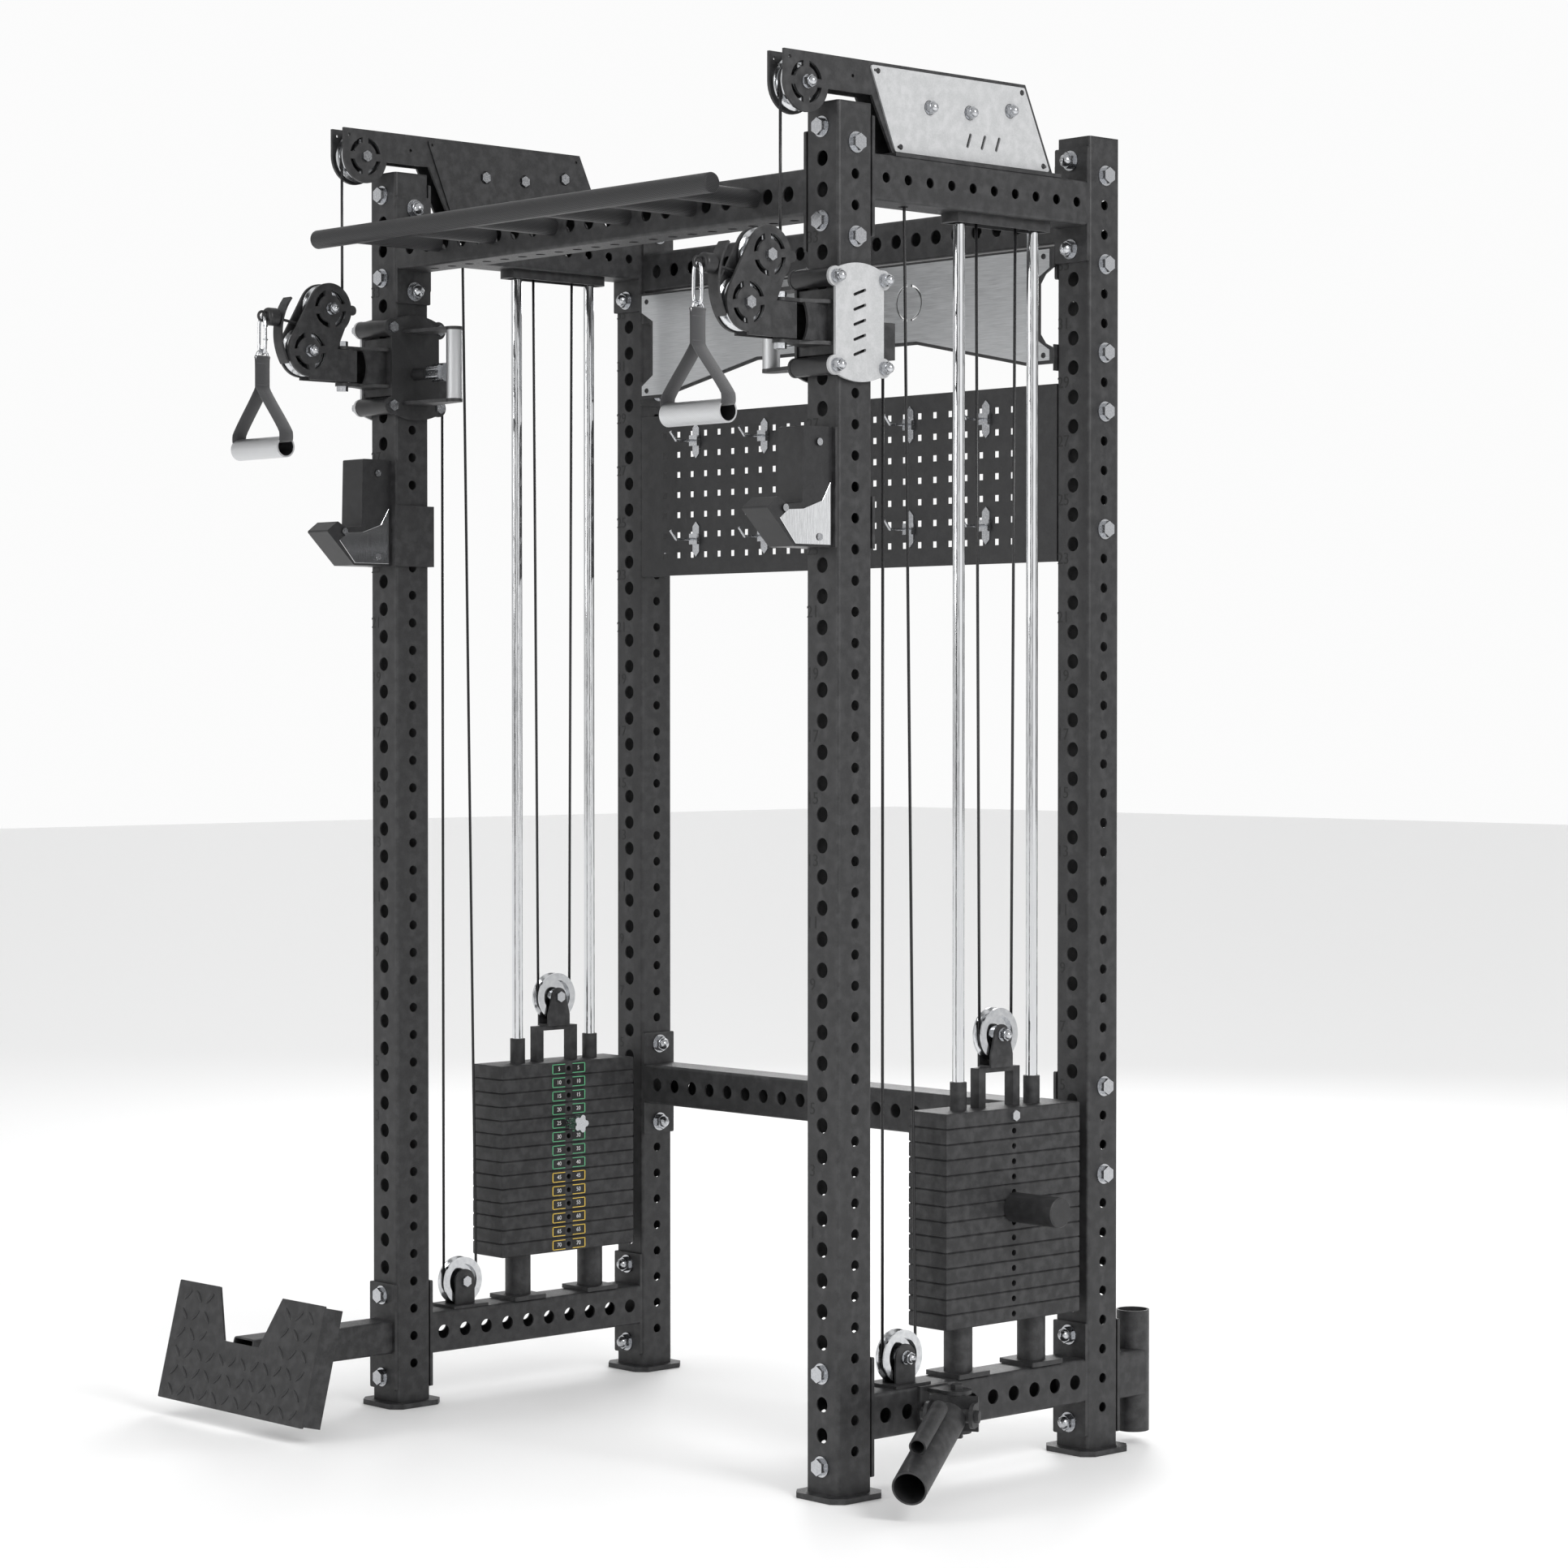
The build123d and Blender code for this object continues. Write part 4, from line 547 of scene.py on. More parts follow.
def numeral(mesh: BMesh, text: str, size: float, place: Matrix) -> None:
    """Adds flat, slightly raised digits.

    Args:
        mesh: The mesh that gets the digits.
        text: The digits.
        size: Their font size in metres.
        place: Where they stand. They face +Z before it.
    """
    curve = bpy.data.curves.new("digits", "FONT")
    curve.body = text
    curve.size = size
    curve.extrude = 0.15 * MM
    curve.align_x = "CENTER"
    curve.align_y = "CENTER"
    holder = bpy.data.objects.new("digits", curve)
    bpy.context.scene.collection.objects.link(holder)
    bpy.context.view_layer.update()
    shape = bpy.data.meshes.new_from_object(holder.evaluated_get(bpy.context.evaluated_depsgraph_get()))
    shape.transform(place)
    mesh.from_mesh(shape)
    bpy.data.objects.remove(holder)
    bpy.data.curves.remove(curve)
    bpy.data.meshes.remove(shape)


def screw_head(mesh: BMesh, place: Matrix, radius: float, height: float) -> None:
    """Adds a button screw head with a hex socket, standing along +Z before place."""
    rims = ((1.0, 0.0), (0.97, 0.35), (0.8, 0.75), (0.5, 1.0))
    socket_reach, socket_floor = radius * 0.42 * 0.87, 0.45
    turns = [2 * math.pi * step / SCREW_STEPS for step in range(SCREW_STEPS)]
    rings = []
    for share, rise in rims:
        reach = radius * share
        rings.append([
            mesh.verts.new(place @ Vector((reach * math.cos(turn), reach * math.sin(turn), height * rise)))
            for turn in turns
        ])
    for lower, upper in zip(rings, rings[1:]):
        join_rings(mesh, lower, upper)
    floor = []
    for turn in turns:
        reach = socket_reach / math.cos(turn % (math.pi / 3) - math.pi / 6)
        spot = Vector((reach * math.cos(turn), reach * math.sin(turn), height * socket_floor))
        floor.append(mesh.verts.new(place @ spot))
    join_rings(mesh, rings[-1], floor)
    mesh.faces.new(floor)
    mesh.faces.new(list(reversed(rings[0])))


# ---- sub-assemblies ----
@dataclass
class SubAssembly:
    """A part of the machine.

    Attributes:
        finishes: The machine's materials.
    """

    finishes: Finishes


@dataclass
class SideAssembly(SubAssembly):
    """A part that both sides of the machine have.

    Attributes:
        side: The side that this one stands on.
    """

    side: Side


@dataclass
class RackFrame(SubAssembly):
    """Uprights, beams, pull-up bar and their fasteners, with the hole numbers.

    Attributes:
        first_hole: Height half a pitch below the hole numbered 1.
        pitch: Distance between holes.
        last_number: Highest number marked.
        digit: Font size of the digits.
        aside: How far the digits stand left of the hole's middle.
        proud: How far the digits' middle stands off the face.
        width: Width of the frame over its uprights' tubes.
        tube: Side of an upright's tube.
        cap: Height of the plastic cap on an upright.
    """

    first_hole: float = 0.403
    pitch: float = 0.05
    last_number: int = 33
    digit: float = 0.028
    aside: float = 0.0225
    proud: float = 0.1 * MM
    width: float = 1.235
    tube: float = 0.075
    cap: float = 3.2 * MM

    def dress(self) -> None:
        """Gives the frame's nodes their coats."""
        coat = self.finishes.coat
        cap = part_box("uprights")[1].z - self.cap
        dress("uprights", (coat, self.finishes.plastic), lambda spot: int(spot.z > cap))
        for node in ("side_beams", "front_beam", "rear_beam_top", "rear_beam_low", "rod_top_brackets"):
            dress(node, (coat,))
        dress("pull_up_bar", (self.finishes.bar,))
        for node in ("frame_bolts", "frame_nuts"):
            dress(node, (self.finishes.zinc,))

    def mark_holes(self) -> None:
        """Puts the hole numbers on the front faces of the four uprights."""
        low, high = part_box("uprights")
        inset = (high.x - low.x - self.width) / 2 + self.tube / 2
        columns = (low.x + inset, high.x - inset)
        fronts = (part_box("front_beam")[0].y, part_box("rear_beam_top")[0].y)
        marks = bmesh.new()
        for front in fronts:
            for column in columns:
                for number in range(1, self.last_number + 1, 2):
                    height = self.first_hole + (number - 0.5) * self.pitch
                    spot = Vector((column - self.aside, front - self.proud, height))
                    numeral(marks, str(number), self.digit, Matrix.Translation(spot) @ FACE_FORWARD)
        finish_piece("hole_numbers", marks, self.finishes.ink, ROOT_BODY, smooth=False)

    def build(self) -> None:
        """Builds and dresses the frame."""
        self.dress()
        self.mark_holes()


@dataclass
class RearWall(SubAssembly):
    """Rear panel with its cover and screws, and the pegboard with its hooks.

    Attributes:
        screw_radius: Radius of the cover's screws.
        screw_height: Height of their heads.
        side_inset: How far they stand in from the cover's sides.
        low_inset: How far the lower ones stand above its bottom.
        top_inset: How far the upper ones stand below its top.
    """

    screw_radius: float = 5.0 * MM
    screw_height: float = 2.4 * MM
    side_inset: float = 0.014
    low_inset: float = 0.009
    top_inset: float = 0.012

    def build(self) -> None:
        """Dresses the sheets and adds the cover's screws."""
        dress("rear_panel", (self.finishes.coat,))
        dress("rear_panel_cover", (self.finishes.panel,))
        dress("pegboard", (self.finishes.coat,))
        dress("pegboard_hooks", (self.finishes.zinc,))
        low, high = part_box("rear_panel_cover")
        screws = bmesh.new()
        for x in (low.x + self.side_inset, high.x - self.side_inset):
            for z in (low.z + self.low_inset, high.z - self.top_inset):
                place = Matrix.Translation((x, low.y, z)) @ FACE_FORWARD
                screw_head(screws, place, self.screw_radius, self.screw_height)
        finish_piece("panel_screws", screws, self.finishes.plastic, ROOT_BODY)


@dataclass
class TopHousing(SubAssembly):
    """Plates, covers, wheels and axle bolts over the top side beams.

    Attributes:
        screw_radius: Radius of the cover's corner screws.
        screw_height: Height of their heads.
        near: How far the screws at the cover's square corners stand in from its ends.
        far: How far those at its slanted corners stand in.
        edge: How far all of them stand from its top or bottom.
        cover_reach: Depth of the zone, in from the outer cover's face, that is silver.
    """

    screw_radius: float = 4.6 * MM
    screw_height: float = 2.2 * MM
    near: tuple[float, float] = (0.0145, 0.014)
    far: float = 0.066
    edge: float = 0.0085
    cover_reach: float = 0.015

    def build(self) -> None:
        """Dresses the housing and adds the covers' screws."""
        dress("top_pulley_plates", (self.finishes.coat,))
        rack_middle = middle("guide_rods").x
        low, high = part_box("top_plate_covers")
        silver_from = high.x - rack_middle - self.cover_reach
        dress(
            "top_plate_covers",
            (self.finishes.coat, self.finishes.silver),
            lambda spot: int(abs(spot.x - rack_middle) > silver_from),
        )
        dress("top_inner_pulleys", (self.finishes.wheel,))
        dress("pulley_bolts", (self.finishes.zinc,))
        top, foot = high.z - self.edge, low.z + self.edge
        corners = ((low.y + self.near[0], top), (high.y - self.far, top))
        feet = ((low.y + self.far, foot), (high.y - self.near[1], foot))
        screws = bmesh.new()
        for x, turn in ((high.x, math.pi / 2), (low.x, -math.pi / 2)):
            for y, z in corners + feet:
                place = Matrix.Translation((x, y, z)) @ Matrix.Rotation(turn, 4, "Y")
                screw_head(screws, place, self.screw_radius, self.screw_height)
        finish_piece("cover_screws", screws, self.finishes.plastic, ROOT_BODY)


@dataclass
class WeightStack(SideAssembly):
    """One side's plates, stem, yoke, pin and stack wheel, with the weight labels.

    Attributes:
        rows: Number of plates.
        lifted: Plates that ride with the stem.
        pitch: Height of one plate with its gap.
        green_rows: Rows whose label has a green edge.
        half: Half width of a plate.
        axle: Where the axle's zone starts: its distance from the middle, and its drop below the wheel's middle.
        label: A label's near and far ends, from the plate's middle, and its half height.
        line: Width of a label's end line, the rise of its long lines and their half width.
        layers: How far the back, the digits' middle and the lines stand off the plate.
        digit: Font size of the digits, and their distance from the plate's middle.
    """

    rows: int = 14
    lifted: int = 5
    pitch: float = 25.5 * MM
    green_rows: int = 8
    half: float = 44 * MM
    axle: tuple[float, float] = (16.1 * MM, 52 * MM)
    label: tuple[float, float, float] = (9 * MM, 40 * MM, 9.2 * MM)
    line: tuple[float, float, float] = (1.8 * MM, 8.5 * MM, 0.6 * MM)
    layers: tuple[float, float, float] = (0.25 * MM, 0.3 * MM, 0.45 * MM)
    digit: tuple[float, float] = (10.5 * MM, 23.5 * MM)

    def dress(self) -> None:
        """Gives the stack's nodes their finishes."""
        centre = middle(self.side.of("stack_pulley"))
        skin = 0.1 * MM

        def pick(spot: Vector) -> int:
            aside = abs(spot.x - centre.x)
            on_axle = spot.z > centre.z - self.axle[1] and aside > self.axle[0]
            return int(on_axle or aside > self.half + skin)

        dress(self.side.of("lifted_stack"), (self.finishes.iron, self.finishes.zinc), pick)
        dress(self.side.of("selector_pin"), (self.finishes.zinc,))
        for wheel in ("stack_pulley", "bottom_pulley"):
            dress(self.side.of(wheel), (self.finishes.wheel,))

    def label_rows(self) -> None:
        """Adds the label of each plate, on the stack's inner face."""
        centre = middle(self.side.of("stack_pulley"))
        face = centre.x - self.side.value * self.half
        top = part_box("resting_plates")[1].z + self.lifted * self.pitch
        groups = (
            ("lifted", range(1, self.lifted + 1), self.side.of("stack")),
            ("resting", range(self.lifted + 1, self.rows + 1), ROOT_BODY),
        )
        for word, rows, body in groups:
            backs, greens, yellows, digits = (bmesh.new() for _ in range(4))
            for row in rows:
                spot = Vector((face, centre.y, top - (row - 0.5) * self.pitch))
                self.add_label(backs, greens if row <= self.green_rows else yellows, digits, spot, str(row * 5))
            name = f"{word}_label_{self.side.name.lower()}"
            finish_piece(name + "_back", backs, self.finishes.ink, body, smooth=False)
            finish_piece(name + "_digits", digits, self.finishes.white, body, smooth=False)
            colours = (("green", greens, self.finishes.green), ("yellow", yellows, self.finishes.yellow))
            for colour, mesh, paint in colours:
                if mesh.verts:
                    finish_piece(f"{name}_{colour}", mesh, paint, body, smooth=False)
                else:
                    mesh.free()

    def add_label(self, backs: BMesh, lines: BMesh, digits: BMesh, spot: Vector, text: str) -> None:
        """Adds one plate's label in two halves, one each side of the pin hole.

        Args:
            backs: Mesh of the labels' black backs.
            lines: Mesh of their coloured lines.
            digits: Mesh of their numbers.
            spot: Middle of the plate's inner face.
            text: The plate's number.
        """
        out = -self.side.value
        turn = Matrix.Rotation(out * math.pi / 2, 4, "Z") @ FACE_FORWARD
        near, far, tall = self.label
        end, rise, thin = self.line
        back, raised, front = self.layers

        def slab(mesh: BMesh, depth: Sequence[float], across: Sequence[float], up: Sequence[float]) -> None:
            x = sorted(spot.x + out * step for step in depth)
            y = sorted(spot.y + step for step in across)
            block(mesh, Vector((x[0], y[0], spot.z + up[0])), Vector((x[1], y[1], spot.z + up[1])))

        for half in (-1, 1):
            slab(backs, (0, back), (half * near, half * far), (-tall, tall))
            slab(lines, (back, front), (half * (far - end), half * far), (-tall, tall))
            for level in (-rise, rise):
                slab(lines, (back, front), (half * near, half * far), (level - thin, level + thin))
            place = Matrix.Translation(spot + Vector((out * raised, half * self.digit[1], 0)))
            numeral(digits, text, self.digit[0], place @ turn)

    def build(self) -> None:
        """Builds and dresses the stack."""
        self.dress()
        self.label_rows()


@dataclass
class Carriage(SideAssembly):
    """One side's sliding carriage with its rollers, plunger and grip.

    Attributes:
        plate_from: Where the outer plate starts, from the upright's middle.
        bolt_from: The same for the rollers' bolts and nuts.
        pivot: Radius of the ear bolt's zone, and its start above and below the carriage's middle.
        grip: The grip's axis, in from the frame's inner end, with its radius and half height.
    """

    plate_from: float = 42.9 * MM
    bolt_from: float = 42.8 * MM
    pivot: tuple[float, float] = (12.5 * MM, 34.5 * MM)
    grip: tuple[float, float, float] = (15 * MM, 15.5 * MM, 60.5 * MM)

    def build(self) -> None:
        """Dresses the carriage: silver outer plate, knurled grip, black frame, bright bolts."""
        frame_node, rollers = self.side.of("carriage_frame"), self.side.of("carriage_rollers")
        level = middle(rollers).z
        hinge = middle(self.side.of("front_cable"))
        low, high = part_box(frame_node)
        inset, radius, half = self.grip
        grip_x = (low.x if self.side is Side.RIGHT else high.x) + self.side.value * inset

        def pick(spot: Vector) -> int:
            aside, rise = spot.x - hinge.x, abs(spot.z - level)
            if aside * self.side.value > self.plate_from:
                return 1
            if math.hypot(aside, spot.y - hinge.y) < self.pivot[0] and rise > self.pivot[1]:
                return 2
            return 3 if abs(spot.x - grip_x) < radius and rise < half else 0

        dress(frame_node, (self.finishes.coat, self.finishes.silver, self.finishes.zinc, self.finishes.knurl), pick)
        dress(
            rollers,
            (self.finishes.plastic, self.finishes.zinc),
            lambda spot: int(abs(spot.x - hinge.x) > self.bolt_from),
        )
        dress(self.side.of("carriage_pin"), (self.finishes.zinc,))


@dataclass
class SwivelHead(SideAssembly):
    """One side's swivel head with its two wheels and cable stop.

    Attributes:
        plate_half: Half width over the head's plates, past which its bolts show.
        stop_reach: How far behind the strap the cable stop's zone ends.
    """

    plate_half: float = 17.2 * MM
    stop_reach: float = 33.5 * MM

    def build(self) -> None:
        """Dresses the head: black plates and stop, bright bolts."""
        centre_x = middle(self.side.of("front_cable")).x
        stop_end = middle(self.side.of("handle_strap")).y + self.stop_reach

        def pick(spot: Vector) -> int:
            if abs(spot.x - centre_x) > self.plate_half:
                return 1
            return 2 if spot.y < stop_end else 0

        dress(self.side.of("swivel_head"), (self.finishes.coat, self.finishes.zinc, self.finishes.plastic), pick)
        for wheel in ("swivel_pulleys", "front_pulley"):
            dress(self.side.of(wheel), (self.finishes.wheel,))


@dataclass
class Handle(SideAssembly):
    """One side's handle: snap hook, ring, webbing strap and grip tube.

    Attributes:
        web: Width of the webbing.
        narrow_web: Its width where it folds into the grip.
        thick: Thickness of the webbing.
        span: Half width of the strap's fork.
        fork: Height at which the strap forks.
        neck: Height of the strap's top.
        stitch: Half length, half height and pitch of a stitch.
        hook_length: Length of the snap hook's wire line.
        hook_wire: Radius of the snap hook's wire.
        ring_radius: Radius of the ring's wire line.
        ring_wire: Radius of the ring's wire.
        bore: Radius of the grip's bore.
    """

    web: float = 30 * MM
    narrow_web: float = 21.2 * MM
    thick: float = 2.2 * MM
    span: float = 71.8 * MM
    fork: float = 112 * MM
    neck: float = 158 * MM
    stitch: tuple[float, float, float] = (0.9 * MM, 0.4 * MM, 3 * MM)
    hook_length: float = 64 * MM
    hook_wire: float = 3 * MM
    ring_radius: float = 12 * MM
    ring_wire: float = 2.5 * MM
    bore: float = 16 * MM

    def at(self, x: float, z: float) -> Vector:
        """Point in the handle's plane, x from its middle and z above the grip's middle."""
        return middle(self.side.of("handle_grip")) + Vector((x, 0, z))

    def mirrored(self, outline: Sequence[tuple[float, float]]) -> list[Vector]:
        """Points of an outline's right half, followed by its left half."""
        return [self.at(x, z) for x, z in outline] + [self.at(-x, z) for x, z in reversed(outline)]

    def strap(self) -> None:
        """Sews the webbing: down from the ring, through the grip and back."""
        span, fork, neck = self.span, self.fork, self.neck
        outline = [
            (1.3 * MM, neck),
            (1.3 * MM, fork),
            (1.6 * MM, fork - 8 * MM),
            (span - 2 * MM, 30 * MM),
            (span, 20 * MM),
            (span - 1 * MM, 10.2 * MM),
            (span - 10 * MM, 9.5 * MM),
        ]
        over = [self.at(x, neck + rise) for x, rise in ((-3.8 * MM, 3 * MM), (0, 6 * MM), (3.8 * MM, 3 * MM))]
        path = rounded_path(self.mirrored(outline) + over, 2, closed=True)
        centre = self.at(0, 14 * MM)
        folded = span - 3.5 * MM
        bevel = 0.8 * MM

        def section(index: int, along: Vector) -> list[Vector]:
            spot = path[index]
            inside = spot.z < centre.z and abs(spot.x - centre.x) < folded
            half_web = (self.narrow_web if inside else self.web) / 2
            out = Vector((0, 1, 0)).cross(along).normalized() * (self.thick / 2)
            across = Vector((0, half_web, 0))
            edge = Vector((0, half_web - bevel, 0))
            return [across, edge + out, -edge + out, -across, -edge - out, edge - out]

        mesh = bmesh.new()
        sweep_ring(mesh, path, section, closed=True)
        body = self.side.of("handle")
        piece = finish_piece(self.side.of("webbing_strap"), mesh, self.finishes.webbing, body)
        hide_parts(self.side.of("handle_strap"))

    def stitches(self) -> None:
        """Sews two rows of thread across the strap's neck."""
        mesh = bmesh.new()
        length, height, pitch = self.stitch
        per_side = 4
        lift = Vector((2.4 * MM, 0, 0))
        half = Vector((0.2 * MM, length, height))
        for level in (self.fork, self.fork + 38 * MM):
            for step in range(-per_side, per_side + 1):
                for face in (-1, 1):
                    spot = self.at(0, level) + Vector((0, step * pitch, 0)) + lift * face
                    block(mesh, spot - half, spot + half)
        finish_piece(self.side.of("strap_stitching"), mesh, self.finishes.thread, self.side.of("handle"))

    def snap_hook(self) -> None:
        """Bends the snap hook, its gate's pins and the ring that it carries."""
        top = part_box(self.side.of("handle_strap"))[1].z - self.hook_wire - self.at(0, 0).z
        base = top - self.hook_length
        outline = [
            (3 * MM, top),
            (8.5 * MM, top - 5 * MM),
            (9.5 * MM, top - 30 * MM),
            (9.8 * MM, base + 12 * MM),
            (6 * MM, base),
        ]
        hook = bmesh.new()
        wire(hook, rounded_path(self.mirrored(outline), 3, closed=True), self.hook_wire, Vector((0, 1, 0)), closed=True)
        pin_reach = Vector((0, 4.2 * MM, 0))
        for rise in (top - 16 * MM, base + 24 * MM):
            spot = self.at(9.6 * MM, rise)
            wire(hook, [spot - pin_reach, spot + pin_reach], 1.6 * MM, Vector((1, 0, 0)))
        body = self.side.of("handle")
        finish_piece(self.side.of("snap_hook"), hook, self.finishes.polish, body)
        slack = 0.3 * MM
        centre = self.at(0, base + self.hook_wire + slack - (self.ring_radius - self.ring_wire))
        turns = [2 * math.pi * step / 48 for step in range(48)]
        circle = [centre + Vector((0, math.sin(turn), math.cos(turn))) * self.ring_radius for turn in turns]
        ring = bmesh.new()
        wire(ring, circle, self.ring_wire, Vector((1, 0, 0)), closed=True)
        finish_piece(self.side.of("handle_ring"), ring, self.finishes.polish, body)

    def build(self) -> None:
        """Builds the handle's pieces and dresses its grip."""
        centre = middle(self.side.of("handle_grip"))
        wall = self.bore + 0.3 * MM
        dress(
            self.side.of("handle_grip"),
            (self.finishes.knurl, self.finishes.plastic),
            lambda spot: int(math.hypot(spot.y - centre.y, spot.z - centre.z) < wall),
        )
        self.strap()
        self.stitches()
        self.snap_hook()


@dataclass
class BarHook(SideAssembly):
    """One side's bar hook: dense liner, coated steel and polished side plates.

    Attributes:
        plate: Thickness of a polished plate.
        half: Half width of the liner.
        steel: Thickness of the steel back.
        outline: A plate's corners in millimetres, forward of the upright and above the hook's lowest point.
    """

    plate: float = 2 * MM
    half: float = 30 * MM
    steel: float = 6.6 * MM
    outline: tuple[tuple[float, float], ...] = (
        (12, 4),
        (88, 4),
        (122, 44),
        (104, 58),
        (70, 60),
        (30, 74),
        (12, 104),
    )

    def build(self) -> None:
        """Dresses the hook and adds its polished plates."""
        node = self.side.of("jhook")
        centre_x = middle(self.side.of("front_cable")).x
        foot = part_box(node)[0].z
        front_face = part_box("front_beam")[0].y
        past_liner, past_screw = self.half + 0.1 * MM, self.half + 0.2 * MM

        def pick(spot: Vector) -> int:
            if spot.y > front_face - self.steel:
                return 1
            return 2 if abs(spot.x - centre_x) > past_liner else 0

        dress(node, (self.finishes.plastic, self.finishes.coat, self.finishes.zinc), pick)
        corners = [(front_face - forward * MM, foot + rise * MM) for forward, rise in self.outline]
        mesh = bmesh.new()
        for out in (-1, 1):
            inner = centre_x + out * past_screw
            near = [mesh.verts.new((inner, y, z)) for y, z in corners]
            far = [mesh.verts.new((inner + out * self.plate, y, z)) for y, z in corners]
            mesh.faces.new(near)
            mesh.faces.new(list(reversed(far)))
            join_rings(mesh, near, far)
        name, body = self.side.of("hook_side_plates"), self.side.of("hook")
        finish_piece(name, mesh, self.finishes.chrome, body, bevel=0.4 * MM, smooth=False)


@dataclass
class CableRuns(SideAssembly):
    """The straight cables between a fixed pulley and a part that slides.

    Attributes:
        runs: Each cable with the body that pulls it, and True where its fixed end is on top.
        ring: How far from its end a run's last vertices may stand.
    """

    runs: tuple[tuple[str, str, bool], ...] = (
        ("front_cable", "carriage", True),
        ("low_cable", "carriage", False),
        ("stack_cables", "stack", True),
    )
    ring: float = 4 * MM

    def end(self, spots: Sequence[Vector], top: bool) -> Vector:
        """Finds the centre of a run's top or bottom face.

        Args:
            spots: The vertices of one run.
            top: True for the top face.

        Returns:
            Its centre in the row frame.
        """
        level = (max if top else min)(spot.z for spot in spots)
        face = [spot for spot in spots if abs(spot.z - level) < self.ring]
        return Vector((min(spot[axis] for spot in face) + max(spot[axis] for spot in face)) / 2 for axis in range(3))

    def sweep(self, node: str, body: str, fixed_top: bool) -> None:
        """Builds one cable node's runs as one piece that rides on no body.

        Args:
            node: The CAD node. Two runs in one node stand apart along Y.
            body: The body that holds the moving ends. It is not used.
            fixed_top: True where the fixed ends are on top. It is not used.
        """
        low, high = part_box(node)
        spots = [corner.co.copy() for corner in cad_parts[node].data.vertices]
        width = high.x - low.x
        groups = [spots]
        if high.y - low.y > 10 * width:
            half = (low.y + high.y) / 2
            groups = [[spot for spot in spots if (spot.y > half) == rear] for rear in (False, True)]
        mesh = bmesh.new()
        ends = [(self.end(group, True), self.end(group, False)) for group in groups]
        for pair in ends:
            wire(mesh, pair, width / 2, Vector((1, 0, 0)))
        piece = finish_piece(f"{node}_run", mesh, self.finishes.sheath, None)
        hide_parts(node)
        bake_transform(piece)

    def build(self) -> None:
        """Builds this side's cables."""
        for node, body, fixed_top in self.runs:
            self.sweep(self.side.of(node), self.side.of(body), fixed_top)


@dataclass
class FootPlate(SubAssembly):
    """Left foot plate with its raised tread.

    Attributes:
        tilt: Lean of the plate from upright, in degrees.
        pitch: Distance between the tread's bars.
        first_row: Height of the lowest row, in pitches.
        bar: Half length of a bar.
        half_width: Half width of a bar.
        rise: Height of a bar.
        notch: Half width and depth of the plate's notch with the bar's reach.
    """

    tilt: float = 13.8
    pitch: float = 34 * MM
    first_row: float = 0.55
    bar: float = 14 * MM
    half_width: float = 3.4 * MM
    rise: float = 1.5 * MM
    notch: tuple[float, float] = (108 * MM, 108 * MM)

    def tread(self) -> None:
        """Presses the slanted bars of the tread into rows."""
        low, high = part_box("foot_plate")
        toe = min((corner.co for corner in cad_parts["foot_plate"].data.vertices), key=lambda spot: spot.y)
        lean = math.radians(self.tilt)
        height = (high.z - toe.z) / math.cos(lean)
        up = Vector((0, math.sin(lean), math.cos(lean)))
        out = Vector((0, -math.cos(lean), math.sin(lean)))
        base = Vector(((low.x + high.x) / 2, toe.y, toe.z))
        mesh = bmesh.new()
        columns = int((high.x - low.x) // self.pitch)
        for row in range(int(height // self.pitch)):
            for column in range(columns):
                across = (column - (columns - 1) / 2) * self.pitch
                along = (row + self.first_row) * self.pitch
                if abs(across) < self.notch[0] and along > height - self.notch[1]:
                    continue
                turn = math.radians(45 if (row + column) % 2 else -45)
                self.stud(mesh, base + Vector((across, 0, 0)) + up * along, up, out, turn)
        finish_piece("foot_plate_tread", mesh, self.finishes.coat, ROOT_BODY)

    def stud(self, mesh: BMesh, spot: Vector, up: Vector, out: Vector, turn: float) -> None:
        """Adds one pointed oval bar.

        Args:
            mesh: The tread's mesh.
            spot: The bar's middle on the plate.
            up: Direction up the plate.
            out: Direction off the plate.
            turn: The bar's slant.
        """
        right = Vector((1, 0, 0))
        along = right * math.cos(turn) + up * math.sin(turn)
        across = up * math.cos(turn) - right * math.sin(turn)
        point = 0.3
        rings = []
        for share, rise in ((1.0, 0.0), (0.82, 0.7), (0.5, 1.0)):
            ring = []
            for step in range(ROUND_STEPS):
                angle = 2 * math.pi * step / ROUND_STEPS
                reach = along * (self.bar * share * math.cos(angle))
                width = across * (self.half_width * share * math.sin(angle) * abs(math.sin(angle)) ** point)
                ring.append(mesh.verts.new(spot + reach + width + out * (self.rise * rise)))
            rings.append(ring)
        for lower, upper in zip(rings, rings[1:]):
            join_rings(mesh, lower, upper)
        mesh.faces.new(rings[-1])
        mesh.faces.new(list(reversed(rings[0])))

    def build(self) -> None:
        """Dresses the plate and adds its tread."""
        dress("foot_plate", (self.finishes.coat,))
        self.tread()


@dataclass
class FloorFittings(SubAssembly):
    """Guide rods, stack supports, low brackets, pegs, barbell tube, landmine and cables.

    Attributes:
        coated: The nodes that have the frame's coat.
    """

    coated: tuple[str, ...] = (
        "stack_supports",
        "bottom_pulley_brackets",
        "barbell_holder",
        "landmine_bracket",
        "landmine_yoke",
        "landmine_tubes",
        "loading_pegs",
    )

    def build(self) -> None:
        """Dresses the fittings."""
        for node in self.coated:
            dress(node, (self.finishes.coat,))
        dress("guide_rods", (self.finishes.chrome,))
        dress("resting_plates", (self.finishes.iron,))
        dress("fixed_cables", (self.finishes.sheath,))
        for side in Side:
            for node in ("stack_cables", "front_cable", "low_cable"):
                dress(side.of(node), (self.finishes.sheath,))


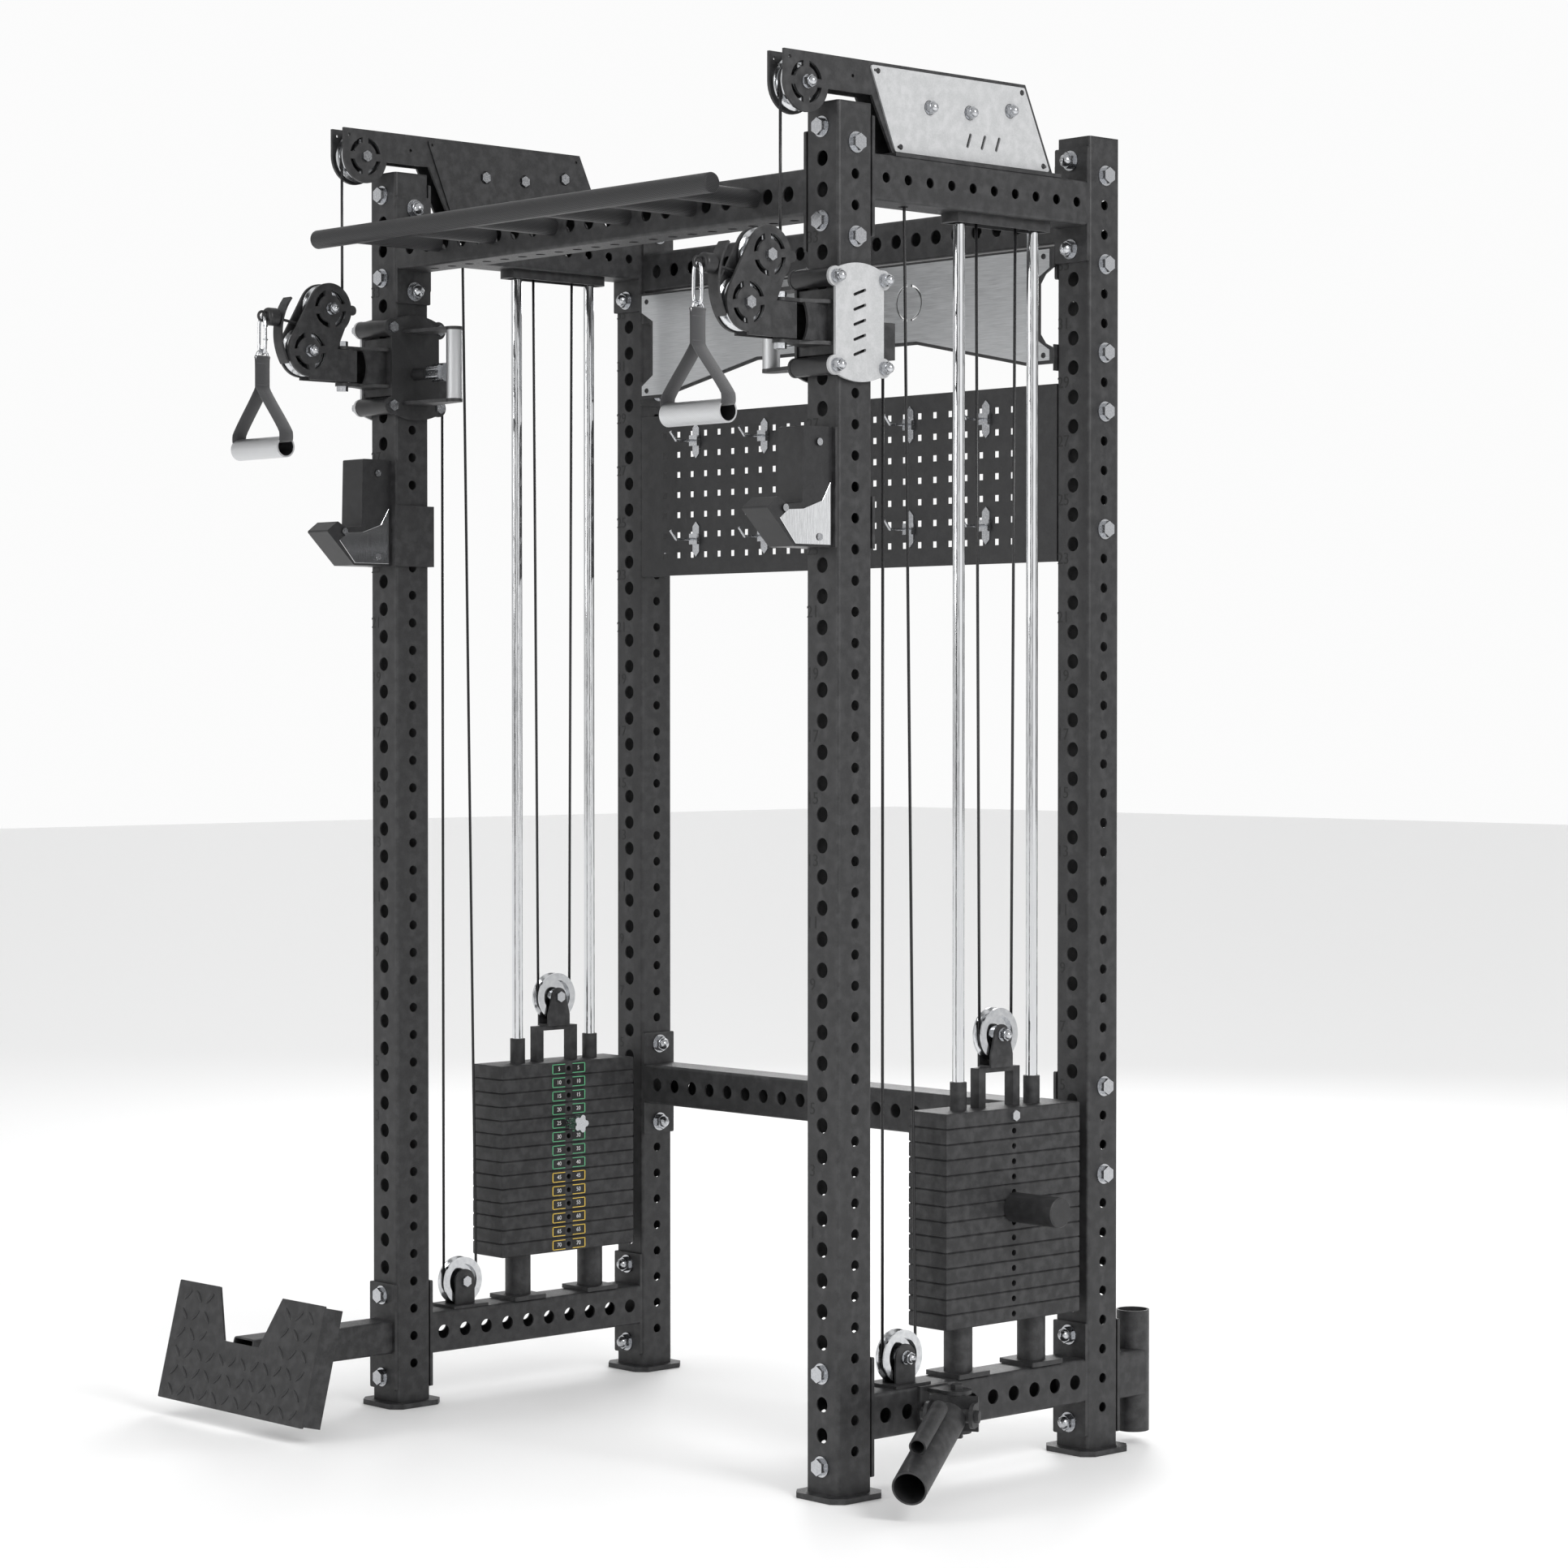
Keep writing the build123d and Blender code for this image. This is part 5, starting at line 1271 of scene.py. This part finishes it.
@dataclass
class Studio:
    """Camera, pale floor and soft lights.

    Attributes:
        camera_at: Where the camera stands.
        azimuth: The camera's direction, 0 along +Y and 90 along -X, in degrees.
        pitch: How far it looks down, in degrees.
        lens: Focal length in millimetres.
        floor_half: Half the floor's side.
        floor_drop: How far the floor lies under the machine.
        lamps: Each lamp's name, place and power in watts.
        lamp_side: Side of a lamp.
        aim: Height that the lamps face.
    """

    camera_at: tuple[float, float, float] = (5.1287, -4.5403, 1.2795)
    azimuth: float = 47.11
    pitch: float = 1.16
    lens: float = 90.1
    floor_half: float = 30.0
    floor_drop: float = 0.5 * MM
    lamps: tuple[tuple[str, tuple[float, float, float], float], ...] = (
        ("key", (5.5, -0.5, 4.0), 160.0),
        ("front", (-1.5, -6.5, 2.6), 75.0),
        ("back", (-3.5, 4.5, 3.5), 90.0),
    )
    lamp_side: float = 2.0
    aim: float = 1.1

    def place(
        self, name: str, data: bpy.types.ID, at: Sequence[float], look: Vector | None = None
    ) -> bpy.types.Object:
        """Adds a studio object.

        Args:
            name: Its name.
            data: Its camera, light or mesh.
            at: Where it stands.
            look: Where it faces, for a camera or a light.

        Returns:
            The new object.
        """
        item = bpy.data.objects.new(name, data)
        bpy.context.scene.collection.objects.link(item)
        item.location = at
        if look is not None:
            item.rotation_mode = "QUATERNION"
            item.rotation_quaternion = look.to_track_quat("-Z", "Y")
        return item

    def camera(self) -> None:
        """Sets up the camera."""
        data = bpy.data.cameras.new("camera")
        data.lens = self.lens
        data.sensor_width = 36.0
        turn, down = math.radians(self.azimuth), math.radians(self.pitch)
        look = Vector((-math.sin(turn) * math.cos(down), math.cos(turn) * math.cos(down), -math.sin(down)))
        bpy.context.scene.camera = self.place("camera", data, self.camera_at, look)

    def floor(self) -> None:
        """Lays a large pale floor."""
        mesh = bmesh.new()
        bmesh.ops.create_grid(mesh, x_segments=2, y_segments=2, size=self.floor_half)
        data = bpy.data.meshes.new("studio_floor")
        mesh.to_mesh(data)
        mesh.free()
        pale, paler, gloss = (0.9, 0.9, 0.9), (0.92, 0.92, 0.92), (0.55, 0.62)
        data.materials.append(CoatedSteel("floor_paint", pale, paler, roughness=gloss, depth=0.0, wear=0.0).build())
        self.place("studio_floor", data, (0, 0, -self.floor_drop))

    def sky(self, tree: NodeTree) -> None:
        """Surrounds the studio with white walls that darken in bands in reflections."""
        place = tree.nodes.new("ShaderNodeTexCoord").outputs["Generated"]
        band = tree.nodes.new("ShaderNodeTexWave")
        band.bands_direction = "X"
        for label, value in (("Scale", 1.1), ("Distortion", 0.0), ("Phase Offset", 0.9)):
            band.inputs[label].default_value = value
        tree.links.new(place, band.inputs["Vector"])
        wall = blend_colours(tree, ramp(tree, band.outputs["Fac"], 0.35, 0.65), (0.22,) * 3, (0.95,) * 3)
        path = tree.nodes.new("ShaderNodeLightPath").outputs
        plain = combine(tree, "MAXIMUM", path["Is Camera Ray"], path["Is Diffuse Ray"])
        seen = blend_colours(tree, plain, wall, (0.97,) * 3)
        tree.links.new(seen, tree.nodes["Background"].inputs["Color"])

    def build(self) -> None:
        """Sets up the whole studio."""
        self.camera()
        self.floor()
        world = bpy.data.worlds.new("studio")
        world.use_nodes = True
        self.sky(world.node_tree)
        bpy.context.scene.world = world
        bpy.context.scene.view_settings.view_transform = "Standard"
        for name, at, power in self.lamps:
            data = bpy.data.lights.new(name, "AREA")
            data.size = self.lamp_side
            data.energy = power
            self.place(name, data, at, Vector((0, 0, self.aim)) - Vector(at))


def main() -> None:
    """Builds the machine's looks in order."""
    logging.basicConfig(level=logging.INFO, format="%(message)s")
    Studio().build()
    finishes = Finishes()
    RackFrame(finishes).build()
    RearWall(finishes).build()
    TopHousing(finishes).build()
    for side in Side:
        WeightStack(finishes, side).build()
        Carriage(finishes, side).build()
        SwivelHead(finishes, side).build()
        Handle(finishes, side).build()
        BarHook(finishes, side).build()
        CableRuns(finishes, side).build()
    FootPlate(finishes).build()
    FloorFittings(finishes).build()


if __name__ == "__main__":
    main()
